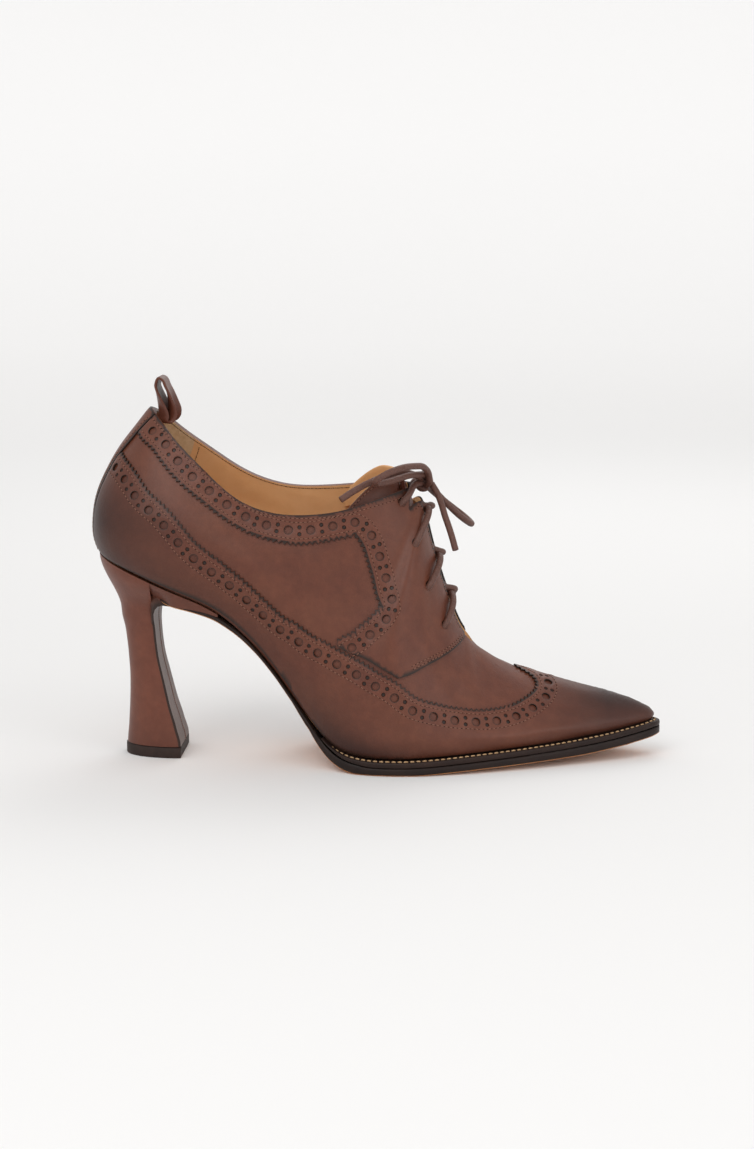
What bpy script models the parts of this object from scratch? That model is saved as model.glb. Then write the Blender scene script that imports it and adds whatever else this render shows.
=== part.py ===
import math

import bmesh
import bpy
import numpy as np
from mathutils import Vector
from mathutils.geometry import delaunay_2d_cdt

MM = 0.001
GAP = 0.3  # clearance that neighbouring pieces keep

# Main sizes of the shoe, in mm. +X runs to the toe, +Y to the inner (medial) side, +Z up.
# The origin is on the floor where the ball of the foot treads.
WALL = 1.8
OVERLAY_THICK = 0.9
SHELL_DEPTH = 0.85 + OVERLAY_THICK  # the shell lies this far inside the overlays' outer face
THROAT_HALF_GAP = 6.5
THROAT_ROUND = 0.8  # stations over which the throat's lower end closes
THROAT_END = 12.2
WELT_START = -28.0
WELT_INSIDE = 4.4
TREAD_BACK = -12.0
TREAD_FRONT = 10.0
BREAST_X = -102.0
WEDGE_END = -70.0
TOP_PIECE_THICK = 4.6
TOP_PIECE_MARGIN = 0.5
HEEL_CENTRE_Y = -1.0
INSOLE_THICK = 2.0
INSOLE_INSIDE = 4.3
EYELET_RADIUS = 1.75
LACE_RADIUS = 1.25
TONGUE_THICK = 2.0
LOOP_WIDTH = 15.0
LOOP_THICK = 1.3

# Bottom of the sole along the foot: heel pitch, arch, flat tread and toe spring.
SOLE_BOTTOM = [  # x, z
    (-104, 69.6), (-93, 67.1), (-84.4, 65.2), (-76, 62.6), (-67.1, 57.2), (-59, 49.8), (-50.4, 39.6),
    (-41.6, 27.4), (-34, 16.0), (-28.5, 8.6), (-23.5, 4.0), (-18, 1.2), (TREAD_BACK, 0), (TREAD_FRONT, 0),
    (24, 0.8), (42, 1.8), (61, 2.7), (81, 4.0), (100, 6.4), (110, 8.3), (120, 11.0),
]

# Where the upper meets the sole. The loop of stations runs from the back of the heel to the toe tip.
FEATHER = [  # x, lateral y, medial y, z
    (-127.6, 0, 0, 89.0), (-122.0, -14, 14, 86.4), (-110, -22.5, 22.5, 81.5), (-93, -26.0, 25.2, 74.4),
    (-76, -25.8, 23.5, 67.3), (-62, -24.5, 20.5, 55.7), (-51, -24.2, 18.6, 42.7), (-40, -26.3, 19.0, 27.7),
    (-30.5, -30.5, 23.0, 15.5), (-20, -36, 29.0, 7.8), (-7, -40.3, 34.8, 6.1), (6, -41.2, 38.3, 6.1),
    (20, -39.2, 39.4, 6.7), (36, -34.6, 37.2, 7.7), (54, -27.9, 31.3, 8.7), (73, -19.6, 23.8, 9.9),
    (91, -11.4, 16.6, 11.7), (103, -4.9, 11.6, 13.4), (111.0, 0.0, 8.0, 14.8), (113.6, 4.2, 4.2, 15.4),
]

# The widest line of the upper above the feather.
SIDE = [  # x, lateral y, medial y, z
    (-130.0, 0, 0, 100.2), (-125.0, -15.6, 16.4, 99.8), (-112, -25.8, 26.2, 98.6), (-95, -30.8, 30.3, 96.5),
    (-77, -31.5, 29.8, 90.5), (-61, -31.6, 27.2, 82.5), (-47, -32.0, 26.6, 71.5), (-35, -33.4, 28.0, 56.6),
    (-25, -36.2, 31.4, 37.8), (-15, -40.0, 35.4, 23), (-3, -42.4, 37.8, 16.8), (9, -42.2, 40.4, 14.8),
    (22, -40.2, 40.8, 14.2), (38, -35.4, 38.0, 14.2), (55, -28.8, 32.2, 14.4), (74, -20.4, 24.6, 14.9),
    (92, -12.2, 17.4, 15.7), (104, -5.6, 12.2, 16.5), (111.8, -0.3, 8.3, 17.0), (114.3, 4.2, 4.2, 17.2),
]

# Collar from the back to the front corner, then the ridge over instep and vamp to the toe.
TOP = [  # x, lateral y, medial y, lateral z, medial z
    (-104.5, 0, 0, 151.7, 151.7), (-99.5, -9.0, 9.0, 147.4, 148.5), (-91.5, -16.0, 16.5, 138.4, 140.4),
    (-79.1, -21.5, 22.0, 126.8, 130.9), (-62, -25.0, 24.5, 112.1, 119.5), (-42.6, -26.0, 25.3, 107.4, 114.4),
    (-24, -25.6, 24.8, 108.6, 115.2), (-7.7, -21.4, 21.0, 113.4, 117.2), (3.5, -13.2, 13.2, 116.7, 118.4),
    (12.2, 0, 0, 118.8, 118.8), (18.0, 0, 0, 93.8, 93.8), (25.4, 0, 0, 70.8, 70.8), (33.6, 0.4, 0.4, 52.2, 52.2),
    (45, 1.0, 1.0, 43.2, 43.2), (60, 1.8, 1.8, 37.2, 37.2), (77, 2.7, 2.7, 32.2, 32.2),
    (92, 3.4, 3.4, 28.2, 28.2), (100.5, 3.8, 3.8, 25.6, 25.6), (104.0, 4.0, 4.0, 24.4, 24.4),
    (104.4, 4.0, 4.0, 24.2, 24.2),
]

# How each rib leaves the feather and arrives at the top: angles in degrees, lean as x per z.
RIB = [  # turn at the top, splay at the feather, crown at the top, lean at the top, fullness at the side, at the top
    (-90, 20, 41, 0, 0.95, 0.95), (-62, 24, 37, 0, 0.95, 0.95), (-36, 26, 26, 0, 0.95, 0.95),
    (-12, 26, 14, 0, 0.95, 0.95), (0, 24, 9, 0, 0.95, 0.95), (0, 22, 7, 0, 0.90, 0.95),
    (0, 22, 9, 0, 0.85, 0.95), (0, 20, 14, -0.05, 0.75, 0.95), (0, 20, 28, -0.12, 0.60, 0.95),
    (0, 18, 58, -0.2, 0.50, 0.95), (0, 16, 90, 0, 0.42, 0.90), (0, 14, 90, 0, 0.36, 0.85),
    (0, 14, 90, 0, 0.32, 0.82), (0, 14, 90, 0, 0.30, 0.80), (0, 14, 90, 0, 0.30, 0.80),
    (0, 14, 90, 0, 0.34, 0.80), (2, 14, 90, 0, 0.40, 0.80), (24, 16, 82, 0, 0.55, 0.84),
    (60, 18, 70, 0, 0.70, 0.86), (90, 18, 62, 0, 0.75, 0.86),
]

TOE = len(FEATHER) - 1  # the toe tip's station
LOOP = 2 * TOE  # stations round the whole shoe; the lateral side counts back from here
LOW_SHARE = 0.2  # share of a rib below its widest point
FINE = 24  # samples between two stations
SMOOTHING = 120
HANDLE = 0.37  # length of a rib's curve handles beside its chord
POLE_START = 17.0  # from here to the toe tip the ribs' tops all but meet
NUDGE = 0.02
MELT = 0.02  # vertices closer than this are one
KEEP = 0.6  # rows below this height stay where they are on every rib
ROWS = (0, 0.1, 0.2, 0.27, 0.36, 0.47, 0.6, 0.73, 0.87, 1.0)
STATION_MM = 12.0  # rough scale of a panel's flat outline
RIB_MM = 70.0
CLEAR_OF_EDGE = 3.0
BACK_BEND = 0.09  # how the strap's foot follows the round of the collar, per square of the width
HEEL_POINTS = 21

LEATHER = (0.155, 0.062, 0.042)
SOLE_BROWN = (0.045, 0.03, 0.025)
HEEL_BROWN = (0.13, 0.052, 0.036)
SOCK_TAN = (0.45, 0.24, 0.12)
LACE_BROWN = (0.13, 0.06, 0.045)

# What lies between the outsole and the upper: the heel's wedge behind, the welt in front.
LAYER = [  # x, thickness with its lower gap
    (-130, 5.0), (-103, 4.9), (-93, 3.6), (-80, 1.9), (-70, 0.9), (-62, 0), (-34, 0), (-28, 0.9), (-20, 1.8),
    (-8, 2.5), (130, 2.5),
]

# Outline of the sole beside the feather line.
MARGIN = [  # x, how far the sole stands out
    (-104, -6.0), (-93, -3.6), (-80, -1.4), (-68, 0.0), (-34, 0.4), (-26, 1.8), (-16, 3.4), (-4, 4.0),
    (90, 3.9), (120, 3.2),
]

# Heel sections from the top piece up to the neck.
HEEL = [  # z, back x, breast x, half width
    (TOP_PIECE_THICK + GAP, -115.6, -91.2, 14.6), (12, -115.0, -92.9, 13.9), (22, -114.4, -95.8, 12.9),
    (33, -114.1, -98.4, 11.8), (45, -114.7, -101.0, 11.0), (55, -115.8, -102.0, 11.3), (63, -117.3, -102.4, 13.0),
]
NECK_Z = HEEL[-1][0]

# Panels as (station, height along the rib), from the back.
BACKSTAY_EDGE = [(0.47, 0.012), (0.42, 0.2), (0.44, 0.45), (0.5, 0.7), (0.6, 0.86), (0.74, 1.0)]
FOXING_BACK = [(0.52, 0.012), (0.47, 0.2), (0.49, 0.45), (0.54, 0.67)]
FOXING_EDGE = [
    (0.54, 0.685), (1.4, 0.64), (2.05, 0.56), (2.65, 0.5), (3.2, 0.4), (3.75, 0.28), (4.45, 0.2), (5.1, 0.183),
    (5.75, 0.175), (6.35, 0.183), (7.0, 0.233), (7.6, 0.317), (8.6, 0.40), (9.35, 0.417), (10.1, 0.433),
    (10.85, 0.433), (11.65, 0.458), (12.35, 0.475), (13.0, 0.49), (13.6, 0.54), (14.0, 0.63), (14.2, 0.72),
    (14.22, 0.80), (14.05, 0.90), (13.75, 0.96), (13.55, 1.0),
]
FACING_EDGE = [  # from the collar at the back, down the gimped edge to the foxing
    (0.79, 0.995), (0.65, 0.86), (0.82, 0.85), (1.55, 0.842), (2.15, 0.80), (2.75, 0.758), (3.3, 0.742),
    (3.85, 0.725), (4.4, 0.70), (4.9, 0.70), (5.4, 0.717), (5.85, 0.767), (6.25, 0.808), (6.7, 0.833),
    (7.05, 0.775), (7.45, 0.708), (7.85, 0.658), (8.2, 0.617), (8.55, 0.592), (8.45, 0.558), (8.2, 0.50),
    (8.05, 0.45), (7.85, 0.40), (7.75, 0.355),
]
FACING_FOOT = [(8.6, 0.42), (9.35, 0.437), (10.05, 0.453)]  # just above the foxing
FACING_FRONT = [(10.45, 0.50), (10.75, 0.55), (11.3, 0.658), (11.7, 0.79), (11.85, 0.885)]
EYELETS = [(8.1, 0.95), (9.25, 0.80), (10.2, 0.775), (11.05, 0.765)]

# Tongue, under the facings, from under the vamp to the top of the throat.
TONGUE = [  # station, half width
    (13.1, 7.0), (12.8, 9.0), (12.4, 11.0), (11.9, 12.5), (11.3, 14.0), (10.7, 15.0), (10.1, 15.0), (9.5, 14.0),
    (9.05, 12.5),
]
TONGUE_TIP = [(4.5, 0.80), (8.5, 0.60)]  # rise above the last row, share of its width

# Side outline of the pull loop's strap, along its middle.
PULL_LOOP = [  # x, z
    (-100.4, 145.4), (-99.6, 147.6), (-99.2, 150.0), (-99.8, 154.5), (-100.4, 159.5), (-99.0, 163.6),
    (-96.6, 162.8), (-94.7, 157.0), (-94.4, 150.5), (-95.6, 147.6), (-98.0, 144.6),
]

CROSSINGS = (9.5, 10.25, 10.95)  # stations where the lace crosses the throat

# The bow, as points that a smooth curve runs through.
KNOT = (12.8, 0.0, 118.6)
KNOT_RADIUS = 3.4
KNOT_HALF_LENGTH = 3.6
BOW = {
    "lace_loop_lateral": [
        (16.4, -4.9, 119.8), (15.0, -10.0, 125.5), (9.0, -20.0, 127.8), (1.5, -28.5, 126.8), (-5.0, -31.5, 123.6),
        (-6.2, -27.0, 121.3), (0.0, -21.0, 121.5), (7.0, -15.0, 123.2), (14.7, -5.0, 122.8),
    ],
    "lace_loop_medial": [
        (14.6, 4.5, 121.0), (14.6, 11.0, 122.6), (12.5, 22.0, 117.5), (17.0, 31.5, 111.0), (25.0, 35.5, 104.0),
        (32.5, 32.5, 98.5), (34.0, 25.5, 97.5), (29.5, 18.5, 101.5), (22.0, 12.0, 109.5), (16.4, 5.4, 116.4),
    ],
    "lace_end_1": [
        (12.2, -4.9, 121.6), (4.5, -11.5, 124.6), (-5.0, -18.5, 122.4), (-13.5, -24.5, 118.8), (-20.5, -28.0, 114.5),
    ],
    "lace_end_2": [
        (16.9, -1.5, 118.4), (20.0, -4.0, 113.5), (22.5, -8.5, 106.5), (25.5, -13.0, 98.5), (27.5, -16.5, 92.0),
    ],
}


def pchip(values, x):
    """Monotone cubic through a closed loop of values, read at x (in stations)."""
    count = len(values)
    step = np.roll(values, -1) - values
    before = np.roll(step, 1)
    same = before * step > 0
    slope = np.where(same, 2 * before * step / np.where(same, before + step, 1), 0)
    index = np.floor(x).astype(int)
    t = x - index
    a, b = index % count, (index + 1) % count
    rise = values[b] - values[a]
    return (values[a] + t * slope[a] + t ** 2 * (3 * rise - 2 * slope[a] - slope[b])
            + t ** 3 * (slope[a] + slope[b] - 2 * rise))


def smooth_loop(medial, lateral):
    """One smooth loop of values: heel back, medial side, toe tip, lateral side."""
    loop = np.concatenate([medial, lateral[-2:0:-1]]).astype(float)
    fine = pchip(loop, np.arange(len(loop) * FINE) / FINE)
    for _ in range(SMOOTHING):
        fine = (np.roll(fine, 1) + 2 * fine + np.roll(fine, -1)) / 4
    return fine


def smooth_points(rows, lateral_z, medial_z):
    rows = np.array(rows, float)
    return np.column_stack([
        smooth_loop(rows[:, medial], rows[:, lateral])
        for medial, lateral in ((0, 0), (2, 1), (medial_z, lateral_z))])


def plan_normals(points):
    along = np.roll(points, -1, axis=0) - np.roll(points, 1, axis=0)
    out = np.column_stack([-along[:, 1], along[:, 0], np.zeros(len(along))])
    return unit(out)


def unit(vectors):
    return vectors / np.linalg.norm(vectors, axis=-1, keepdims=True)


def last_lines():
    """The smooth lines that carry the ribs of the last."""
    feather = smooth_points(FEATHER, 3, 3)
    side = smooth_points(SIDE, 3, 3)
    top = smooth_points(TOP, 3, 4)
    rib = np.array(RIB, float)
    turn, splay, crown = np.radians(rib[:, 0]), np.radians(rib[:, 1]), np.radians(rib[:, 2])
    lean = rib[:, 3]
    splay, crown, lean, full_side, full_top = (
        smooth_loop(column, column)[:, None] for column in (splay, crown, lean, rib[:, 4], rib[:, 5]))
    out_top = unit(np.column_stack([
        smooth_loop(np.sin(turn), np.sin(turn)), smooth_loop(np.cos(turn), -np.cos(turn)), 0 * top[:, 0]]))
    out_feather, out_side = plan_normals(feather), plan_normals(side)
    rise = top - feather
    rise = unit(rise - (rise * out_side).sum(1, keepdims=True) * out_side)
    up_top = unit(np.column_stack([lean[:, 0], 0 * lean[:, 0], 1 + 0 * lean[:, 0]]))
    leave = np.cos(splay) * rise + np.sin(splay) * out_feather
    arrive = np.cos(crown) * up_top - np.sin(crown) * out_top
    reach_low = HANDLE * np.linalg.norm(side - feather, axis=1, keepdims=True)
    reach_high = HANDLE * np.linalg.norm(top - side, axis=1, keepdims=True)
    return {
        "feather": feather, "out": out_feather, "top": top,
        "low": (feather, feather + leave * reach_low, side - rise * reach_low, side),
        "high": (side, side + rise * reach_high * full_side, top - arrive * reach_high * full_top, top),
    }


def read_line(line, p):
    """A fine line read at station p."""
    x = np.asarray(p, float) * FINE
    index = np.floor(x).astype(int)
    share = (x - index)[..., None]
    return line[index % len(line)] * (1 - share) + line[(index + 1) % len(line)] * share


def surface(p, v):
    """Points of the upper's outer face: station p round the loop, height v along the rib."""
    p, v = np.broadcast_arrays(np.asarray(p, float), np.asarray(v, float))
    low = v < LOW_SHARE
    t = np.where(low, v / LOW_SHARE, (v - LOW_SHARE) / (1 - LOW_SHARE))[..., None]
    total = 0
    for index, weight in enumerate(((1 - t) ** 3, 3 * t * (1 - t) ** 2, 3 * t ** 2 * (1 - t), t ** 3)):
        point = np.where(low[..., None], read_line(LAST["low"][index], p), read_line(LAST["high"][index], p))
        total = total + weight * point
    return total


def outward(p, v):
    """Unit normals of the outer face."""
    p, v = np.broadcast_arrays(np.asarray(p, float), np.asarray(v, float))
    near_tip = np.abs(p - TOE) < TOE - POLE_START
    v = np.clip(v, NUDGE, np.where(near_tip, 0.95, 1 - NUDGE))
    along = surface(p + NUDGE, v) - surface(p - NUDGE, v)
    up = surface(p, v + NUDGE) - surface(p, v - NUDGE)
    return unit(np.cross(up, along))


def inset(p, v, depth):
    """Points of the outer face moved inwards."""
    return surface(p, v) - outward(p, v) * depth


LAST = last_lines()


def at(table, x):
    """A straight-line reading of a short (x, value) table."""
    rows = np.array(table, float)
    return np.interp(x, rows[:, 0], rows[:, 1])


def smooth_at(table, x, column=1):
    """A smooth reading of a table whose first column rises or falls steadily."""
    rows = np.array(table, float)
    place = np.interp(x, rows[:, 0], np.arange(len(rows)))
    loop = np.concatenate([rows[:, column], rows[-2:0:-1, column]])
    return pchip(loop, place)


def feather_z(x):
    half = LAST["feather"][:TOE * FINE + 1]
    return np.interp(x, half[:, 0], half[:, 2])


def outsole_top(x):
    return feather_z(x) - at(LAYER, x) - GAP


def outline(p, margin):
    """Points of the feather line at stations p, moved outwards by margin mm."""
    return read_line(LAST["feather"], p) + read_line(LAST["out"], p) * np.asarray(margin, float)[..., None]


def station_at(x):
    """Station of the medial side where the feather line passes x."""
    half = LAST["feather"][:TOE * FINE + 1, 0]
    return np.interp(x, half, np.arange(len(half)) / FINE)


def paint(obj, colour, roughness):
    material = bpy.data.materials.new(obj.name)
    material.use_nodes = True
    shader = material.node_tree.nodes["Principled BSDF"]
    shader.inputs["Base Color"].default_value = (*colour, 1)
    shader.inputs["Roughness"].default_value = roughness
    obj.data.materials.clear()
    obj.data.materials.append(material)
    if obj.type == "MESH":
        obj.data.shade_smooth()
        obj.data.set_sharp_from_angle(angle=math.radians(40))


def add_verts(bm, points):
    return [bm.verts.new(Vector(point) * MM) for point in points]


def skin(bm, rows, closed=False):
    """Quads between neighbouring rows of vertices, without repeated corners."""
    for row, following in zip(rows, rows[1:]):
        count = len(row)
        for i in range(count if closed else count - 1):
            corners = [row[i], row[(i + 1) % count], following[(i + 1) % count], following[i]]
            corners = [v for k, v in enumerate(corners) if v not in corners[:k]]
            if len(corners) > 2 and not bm.faces.get(corners):
                bm.faces.new(corners)


def thick_sheet(name, spots, faces, outside, inside):
    """A sheet of leather between two depths under the last's face, from flat triangles or quads."""
    spots = np.array(spots, float)
    outer = surface(spots[:, 0], spots[:, 1])
    normals = outward(spots[:, 0], spots[:, 1])
    keys, number = {}, []
    for point in np.round(outer, 2):
        number.append(keys.setdefault(tuple(point), len(keys)))
    first = {n: i for i, n in reversed(list(enumerate(number)))}
    chosen = [first[n] for n in range(len(keys))]
    bm = bmesh.new()
    skins = [add_verts(bm, outer[chosen] - normals[chosen] * depth) for depth in (outside, inside)]
    edges = {}
    for face in faces:
        ring = [number[i] for i in face]
        ring = [n for k, n in enumerate(ring) if n not in ring[:k]]
        if len(ring) < 3:
            continue
        bm.faces.new([skins[0][n] for n in ring])
        bm.faces.new([skins[1][n] for n in reversed(ring)])
        for a, b in zip(ring, ring[1:] + ring[:1]):
            edges[(a, b)] = True
    for a, b in edges:
        if (b, a) not in edges:
            bm.faces.new([skins[0][b], skins[0][a], skins[1][a], skins[1][b]])
    bmesh.ops.recalc_face_normals(bm, faces=bm.faces)
    return new_object(name, bm, LEATHER, 0.42)


def throat_gap(p):
    """Half of the throat's opening at station p of the medial side."""
    share = np.clip((p - THROAT_END + THROAT_ROUND) / THROAT_ROUND, 0, 1)
    return THROAT_HALF_GAP * math.sqrt(1 - share ** 2)


def rib_top(p):
    """Height along the rib where the upper ends: the collar, the throat's edge or the ridge."""
    gap = throat_gap(p)
    if p < CORNER - 1 or gap == 0 or abs(surface(p, 1.0)[1]) >= gap:
        return 1.0
    return height_at_width(p, gap)


def height_at_width(p, width):
    """Height along a medial rib where it stands width mm from its ridge."""
    low, high = LOW_SHARE, 1.0
    ridge = surface(p, 1.0)[1]
    for _ in range(40):
        middle = (low + high) / 2
        if surface(p, middle)[1] - ridge > width:
            low = middle
        else:
            high = middle
    return low


def corner_station():
    """Where the collar line comes within the throat's half gap."""
    fine = np.linspace(TOE * 0.4, TOE * 0.5, 400)
    y = surface(fine, 1.0)[:, 1]
    return float(fine[np.argmax(y < THROAT_HALF_GAP)])


CORNER = corner_station()


def fold_rib(v, top):
    """Keeps the lower rows and squeezes the upper ones under the rib's top."""
    return v if v <= KEEP else KEEP + (v - KEEP) * (top - KEEP) / (1 - KEEP)


STATIONS = sorted([i / 2 for i in range(0, 2 * TOE + 1)] + [CORNER, CORNER + 0.25, 11.75, 12.1, THROAT_END])


def build_upper():
    spots, faces = [], []
    for side in (1, -1):
        first = len(spots)
        for p in STATIONS:
            top = rib_top(p)
            spots += [(p if side > 0 else LOOP - p, fold_rib(v, top)) for v in ROWS]
        count = len(ROWS)
        for i in range(len(STATIONS) - 1):
            for j in range(count - 1):
                a = first + i * count + j
                ring = (a, a + count, a + count + 1, a + 1)
                faces.append(ring if side > 0 else ring[::-1])
    return thick_sheet("upper", spots, faces, SHELL_DEPTH, SHELL_DEPTH + WALL)


def new_object(name, bm, colour, roughness):
    mesh = bpy.data.meshes.new(name)
    bm.to_mesh(mesh)
    bm.free()
    obj = bpy.data.objects.new(name, mesh)
    SHOE.objects.link(obj)
    paint(obj, colour, roughness)
    return obj


def dense_line(points, step_p=0.55, step_v=0.14):
    """Adds points along a panel's outline so that it follows the surface."""
    line = []
    for (p0, v0), (p1, v1) in zip(points, points[1:] + points[:1]):
        count = max(1, math.ceil(max(abs(p1 - p0) / step_p, abs(v1 - v0) / step_v) - 1e-6))
        if p0 >= POLE_START and v0 == v1 == 1:
            count = 1
        line += [(p0 + (p1 - p0) * i / count, v0 + (v1 - v0) * i / count) for i in range(count)]
    return line


def inside(point, polygon):
    x, y = point
    hit = False
    for (x0, y0), (x1, y1) in zip(polygon, polygon[1:] + polygon[:1]):
        if (y0 > y) != (y1 > y) and x < x0 + (y - y0) * (x1 - x0) / (y1 - y0):
            hit = not hit
    return hit


def near_line(point, line, reach):
    return any((point[0] - x) ** 2 + (point[1] - y) ** 2 < reach ** 2 for x, y in line)


def flat_panel(edge):
    """Triangulates a panel's outline in stations and heights, with the shell's own grid inside it."""
    line = [(p * STATION_MM, v * RIB_MM) for p, v in dense_line(edge)]
    grid = [(p * STATION_MM, fold_rib(v, rib_top(p)) * RIB_MM) for p in STATIONS for v in ROWS]
    grid = [q for q in grid if inside(q, line) and not near_line(q, line, CLEAR_OF_EDGE)]
    points, _, faces, *_ = delaunay_2d_cdt(
        [Vector(q) for q in line + grid], [], [list(range(len(line)))], 1, 1e-5)
    return [(q.x / STATION_MM, q.y / RIB_MM) for q in points], faces


def panel(name, edge, sides):
    """An overlay of leather between two copies of the last's surface."""
    points, flat_faces = flat_panel(edge)
    spots, faces = [], []
    for side in sides:
        first = len(spots)
        spots += [(p if side > 0 else LOOP - p, v) for p, v in points]
        faces += [[first + i for i in (face if side > 0 else face[::-1])] for face in flat_faces]
    return thick_sheet(name, spots, faces, 0, OVERLAY_THICK)


def collar_line(first):
    """The top edge from the backstay to the throat's corner, as panel points."""
    count = math.ceil((CORNER - first) / 0.5)
    return [(first + (CORNER - first) * i / count, 0.997) for i in range(count + 1)]


def throat_line(last):
    """The throat's edge from the corner down to the vamp, as panel points."""
    count = math.ceil((last - CORNER) / 0.25)
    stations = [CORNER + (last - CORNER) * i / count for i in range(1, count)]
    return [(p, rib_top(p) - 0.003) for p in stations]


def build_panels():
    stay = BACKSTAY_EDGE + [(-p, v) for p, v in reversed(BACKSTAY_EDGE)]
    panel("backstay", stay, (1,))
    foot = [(p, 0.012) for p in np.arange(1, TOE, 0.5)]
    foxing = FOXING_EDGE + [(p, 1.0) for p in STATIONS if 13.6 < p <= POLE_START]
    foxing += [(TOE, v) for v in (1.0, 0.87, 0.73, 0.6, 0.47, 0.36, 0.27, 0.2, 0.1, 0.012)]
    foxing += foot[::-1] + FOXING_BACK[:-1]
    panel("foxing", foxing, (1, -1))
    facing = collar_line(0.79) + throat_line(11.85) + FACING_FRONT[::-1] + FACING_FOOT[::-1] + FACING_EDGE[:0:-1]
    for name, side in (("facing_medial", 1), ("facing_lateral", -1)):
        obj = panel(name, facing, (side,))
        cut(obj, EYELET_CUTTERS)


def cut(obj, cutters):
    for cutter in cutters:
        modifier = obj.modifiers.new(cutter.name, "BOOLEAN")
        modifier.operation = "DIFFERENCE"
        modifier.object = cutter


def eyelet_axes():
    """Centre and outward direction of each eyelet, lateral side first."""
    axes = []
    for side in (-1, 1):
        for p, v in EYELETS:
            place = p if side > 0 else LOOP - p
            axes.append((surface(place, v), outward(place, v)))
    return axes


def build_eyelet_cutters():
    cutters = []
    for number, (centre, out) in enumerate(eyelet_axes(), 1):
        bm = bmesh.new()
        turn = Vector(out).to_track_quat("Z", "Y").to_matrix().to_4x4()
        bmesh.ops.create_cone(bm, cap_ends=True, segments=12, radius1=EYELET_RADIUS * MM,
                              radius2=EYELET_RADIUS * MM, depth=9 * MM, matrix=turn)
        bmesh.ops.translate(bm, verts=bm.verts, vec=Vector(centre) * MM)
        mesh = bpy.data.meshes.new(f"eyelet_cut_{number}")
        bm.to_mesh(mesh)
        bm.free()
        obj = bpy.data.objects.new(mesh.name, mesh)
        CUTTERS.objects.link(obj)
        obj.hide_render = True
        obj.display_type = "WIRE"
        cutters.append(obj)
    return cutters


def pairs(first, last, margin_of, extra=()):
    """Matching lateral and medial points of an outline between two stations."""
    stations = sorted({first, last, *extra, *[p for p in STATIONS if first + 0.08 < p < last - 0.08]})
    stations = np.array(stations)
    margin = margin_of(read_line(LAST["feather"], stations)[:, 0])
    return outline(LOOP - stations, margin), outline(stations, margin)


def slab(bm, left, right, bottom, top):
    """A closed sheet between two edges; its faces follow heights that depend on x alone."""
    rows = []
    for a, b in zip(left, right):
        corners = [(a[0], a[1], top(a[0])), (b[0], b[1], top(b[0])),
                   (b[0], b[1], bottom(b[0])), (a[0], a[1], bottom(a[0]))]
        rows.append(add_verts(bm, corners))
    skin(bm, rows, closed=True)
    bm.faces.new(rows[0])
    if len({tuple(round(c, 7) for c in v.co) for v in rows[-1]}) > 2:
        bm.faces.new(rows[-1])
    bmesh.ops.remove_doubles(bm, verts=bm.verts, dist=MELT * MM)
    bmesh.ops.triangulate(bm, faces=[f for f in bm.faces if len(f.verts) > 3])
    bmesh.ops.recalc_face_normals(bm, faces=bm.faces)


def sole_margin(x):
    return at(MARGIN, x)


def build_outsole():
    flat = [float(station_at(x)) for x in (TREAD_BACK, TREAD_FRONT)]
    left, right = pairs(float(station_at(BREAST_X + 1.2)), TOE, sole_margin, flat)
    bm = bmesh.new()
    slab(bm, left, right, lambda x: float(smooth_at(SOLE_BOTTOM, x)), lambda x: float(outsole_top(x)))
    new_object("outsole", bm, SOLE_BROWN, 0.45)


def build_insole():
    left, right = pairs(0.0, TOE, lambda x: 0 * x - INSOLE_INSIDE)
    bm = bmesh.new()
    slab(bm, left, right, lambda x: float(feather_z(x)), lambda x: float(feather_z(x)) + INSOLE_THICK)
    new_object("insole", bm, SOCK_TAN, 0.6)


def build_welt():
    """A strip round the forepart, between the outsole and the upper's edge."""
    first = float(station_at(WELT_START))
    stations = [first] + [p for p in STATIONS if p > first + 0.1]
    loop = np.array(stations + [LOOP - p for p in stations[-2::-1]])
    outer_margin = at(MARGIN, read_line(LAST["feather"], loop)[:, 0])
    bm = bmesh.new()
    rows = []
    for a, b in zip(outline(loop, outer_margin), outline(loop, 0 * outer_margin - WELT_INSIDE)):
        rows.append(add_verts(bm, [
            (a[0], a[1], outsole_top(a[0]) + 2 * GAP), (a[0], a[1], feather_z(a[0]) - GAP),
            (b[0], b[1], feather_z(b[0]) - GAP), (b[0], b[1], outsole_top(b[0]) + 2 * GAP)]))
    skin(bm, rows, closed=True)
    bm.faces.new(rows[0])
    bm.faces.new(rows[-1])
    bmesh.ops.recalc_face_normals(bm, faces=bm.faces)
    new_object("welt", bm, SOLE_BROWN, 0.5)


def heel_ring(back, breast, half_width):
    """Half an oval from the lateral corner round the back to the medial corner."""
    angles = np.radians(np.linspace(-90, 90, HEEL_POINTS))
    x = breast - (breast - back) * np.cos(angles) ** 0.9
    y = HEEL_CENTRE_Y + half_width * np.sign(np.sin(angles)) * np.abs(np.sin(angles)) ** 0.95
    return np.column_stack([x, y])


def seat_ring():
    """The feather line behind the breast, at even angles about the middle of the breast."""
    loop = np.concatenate([LOOP - np.linspace(4, 0, 200), np.linspace(0, 4, 200)[1:]])
    line = outline(loop, 0 * loop - 0.2)
    angle = np.degrees(np.arctan2(line[:, 1], BREAST_X - line[:, 0]))
    wanted = np.linspace(-90, 90, HEEL_POINTS)
    return np.column_stack([np.interp(wanted, angle, line[:, 0]), np.interp(wanted, angle, line[:, 1])])


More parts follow.
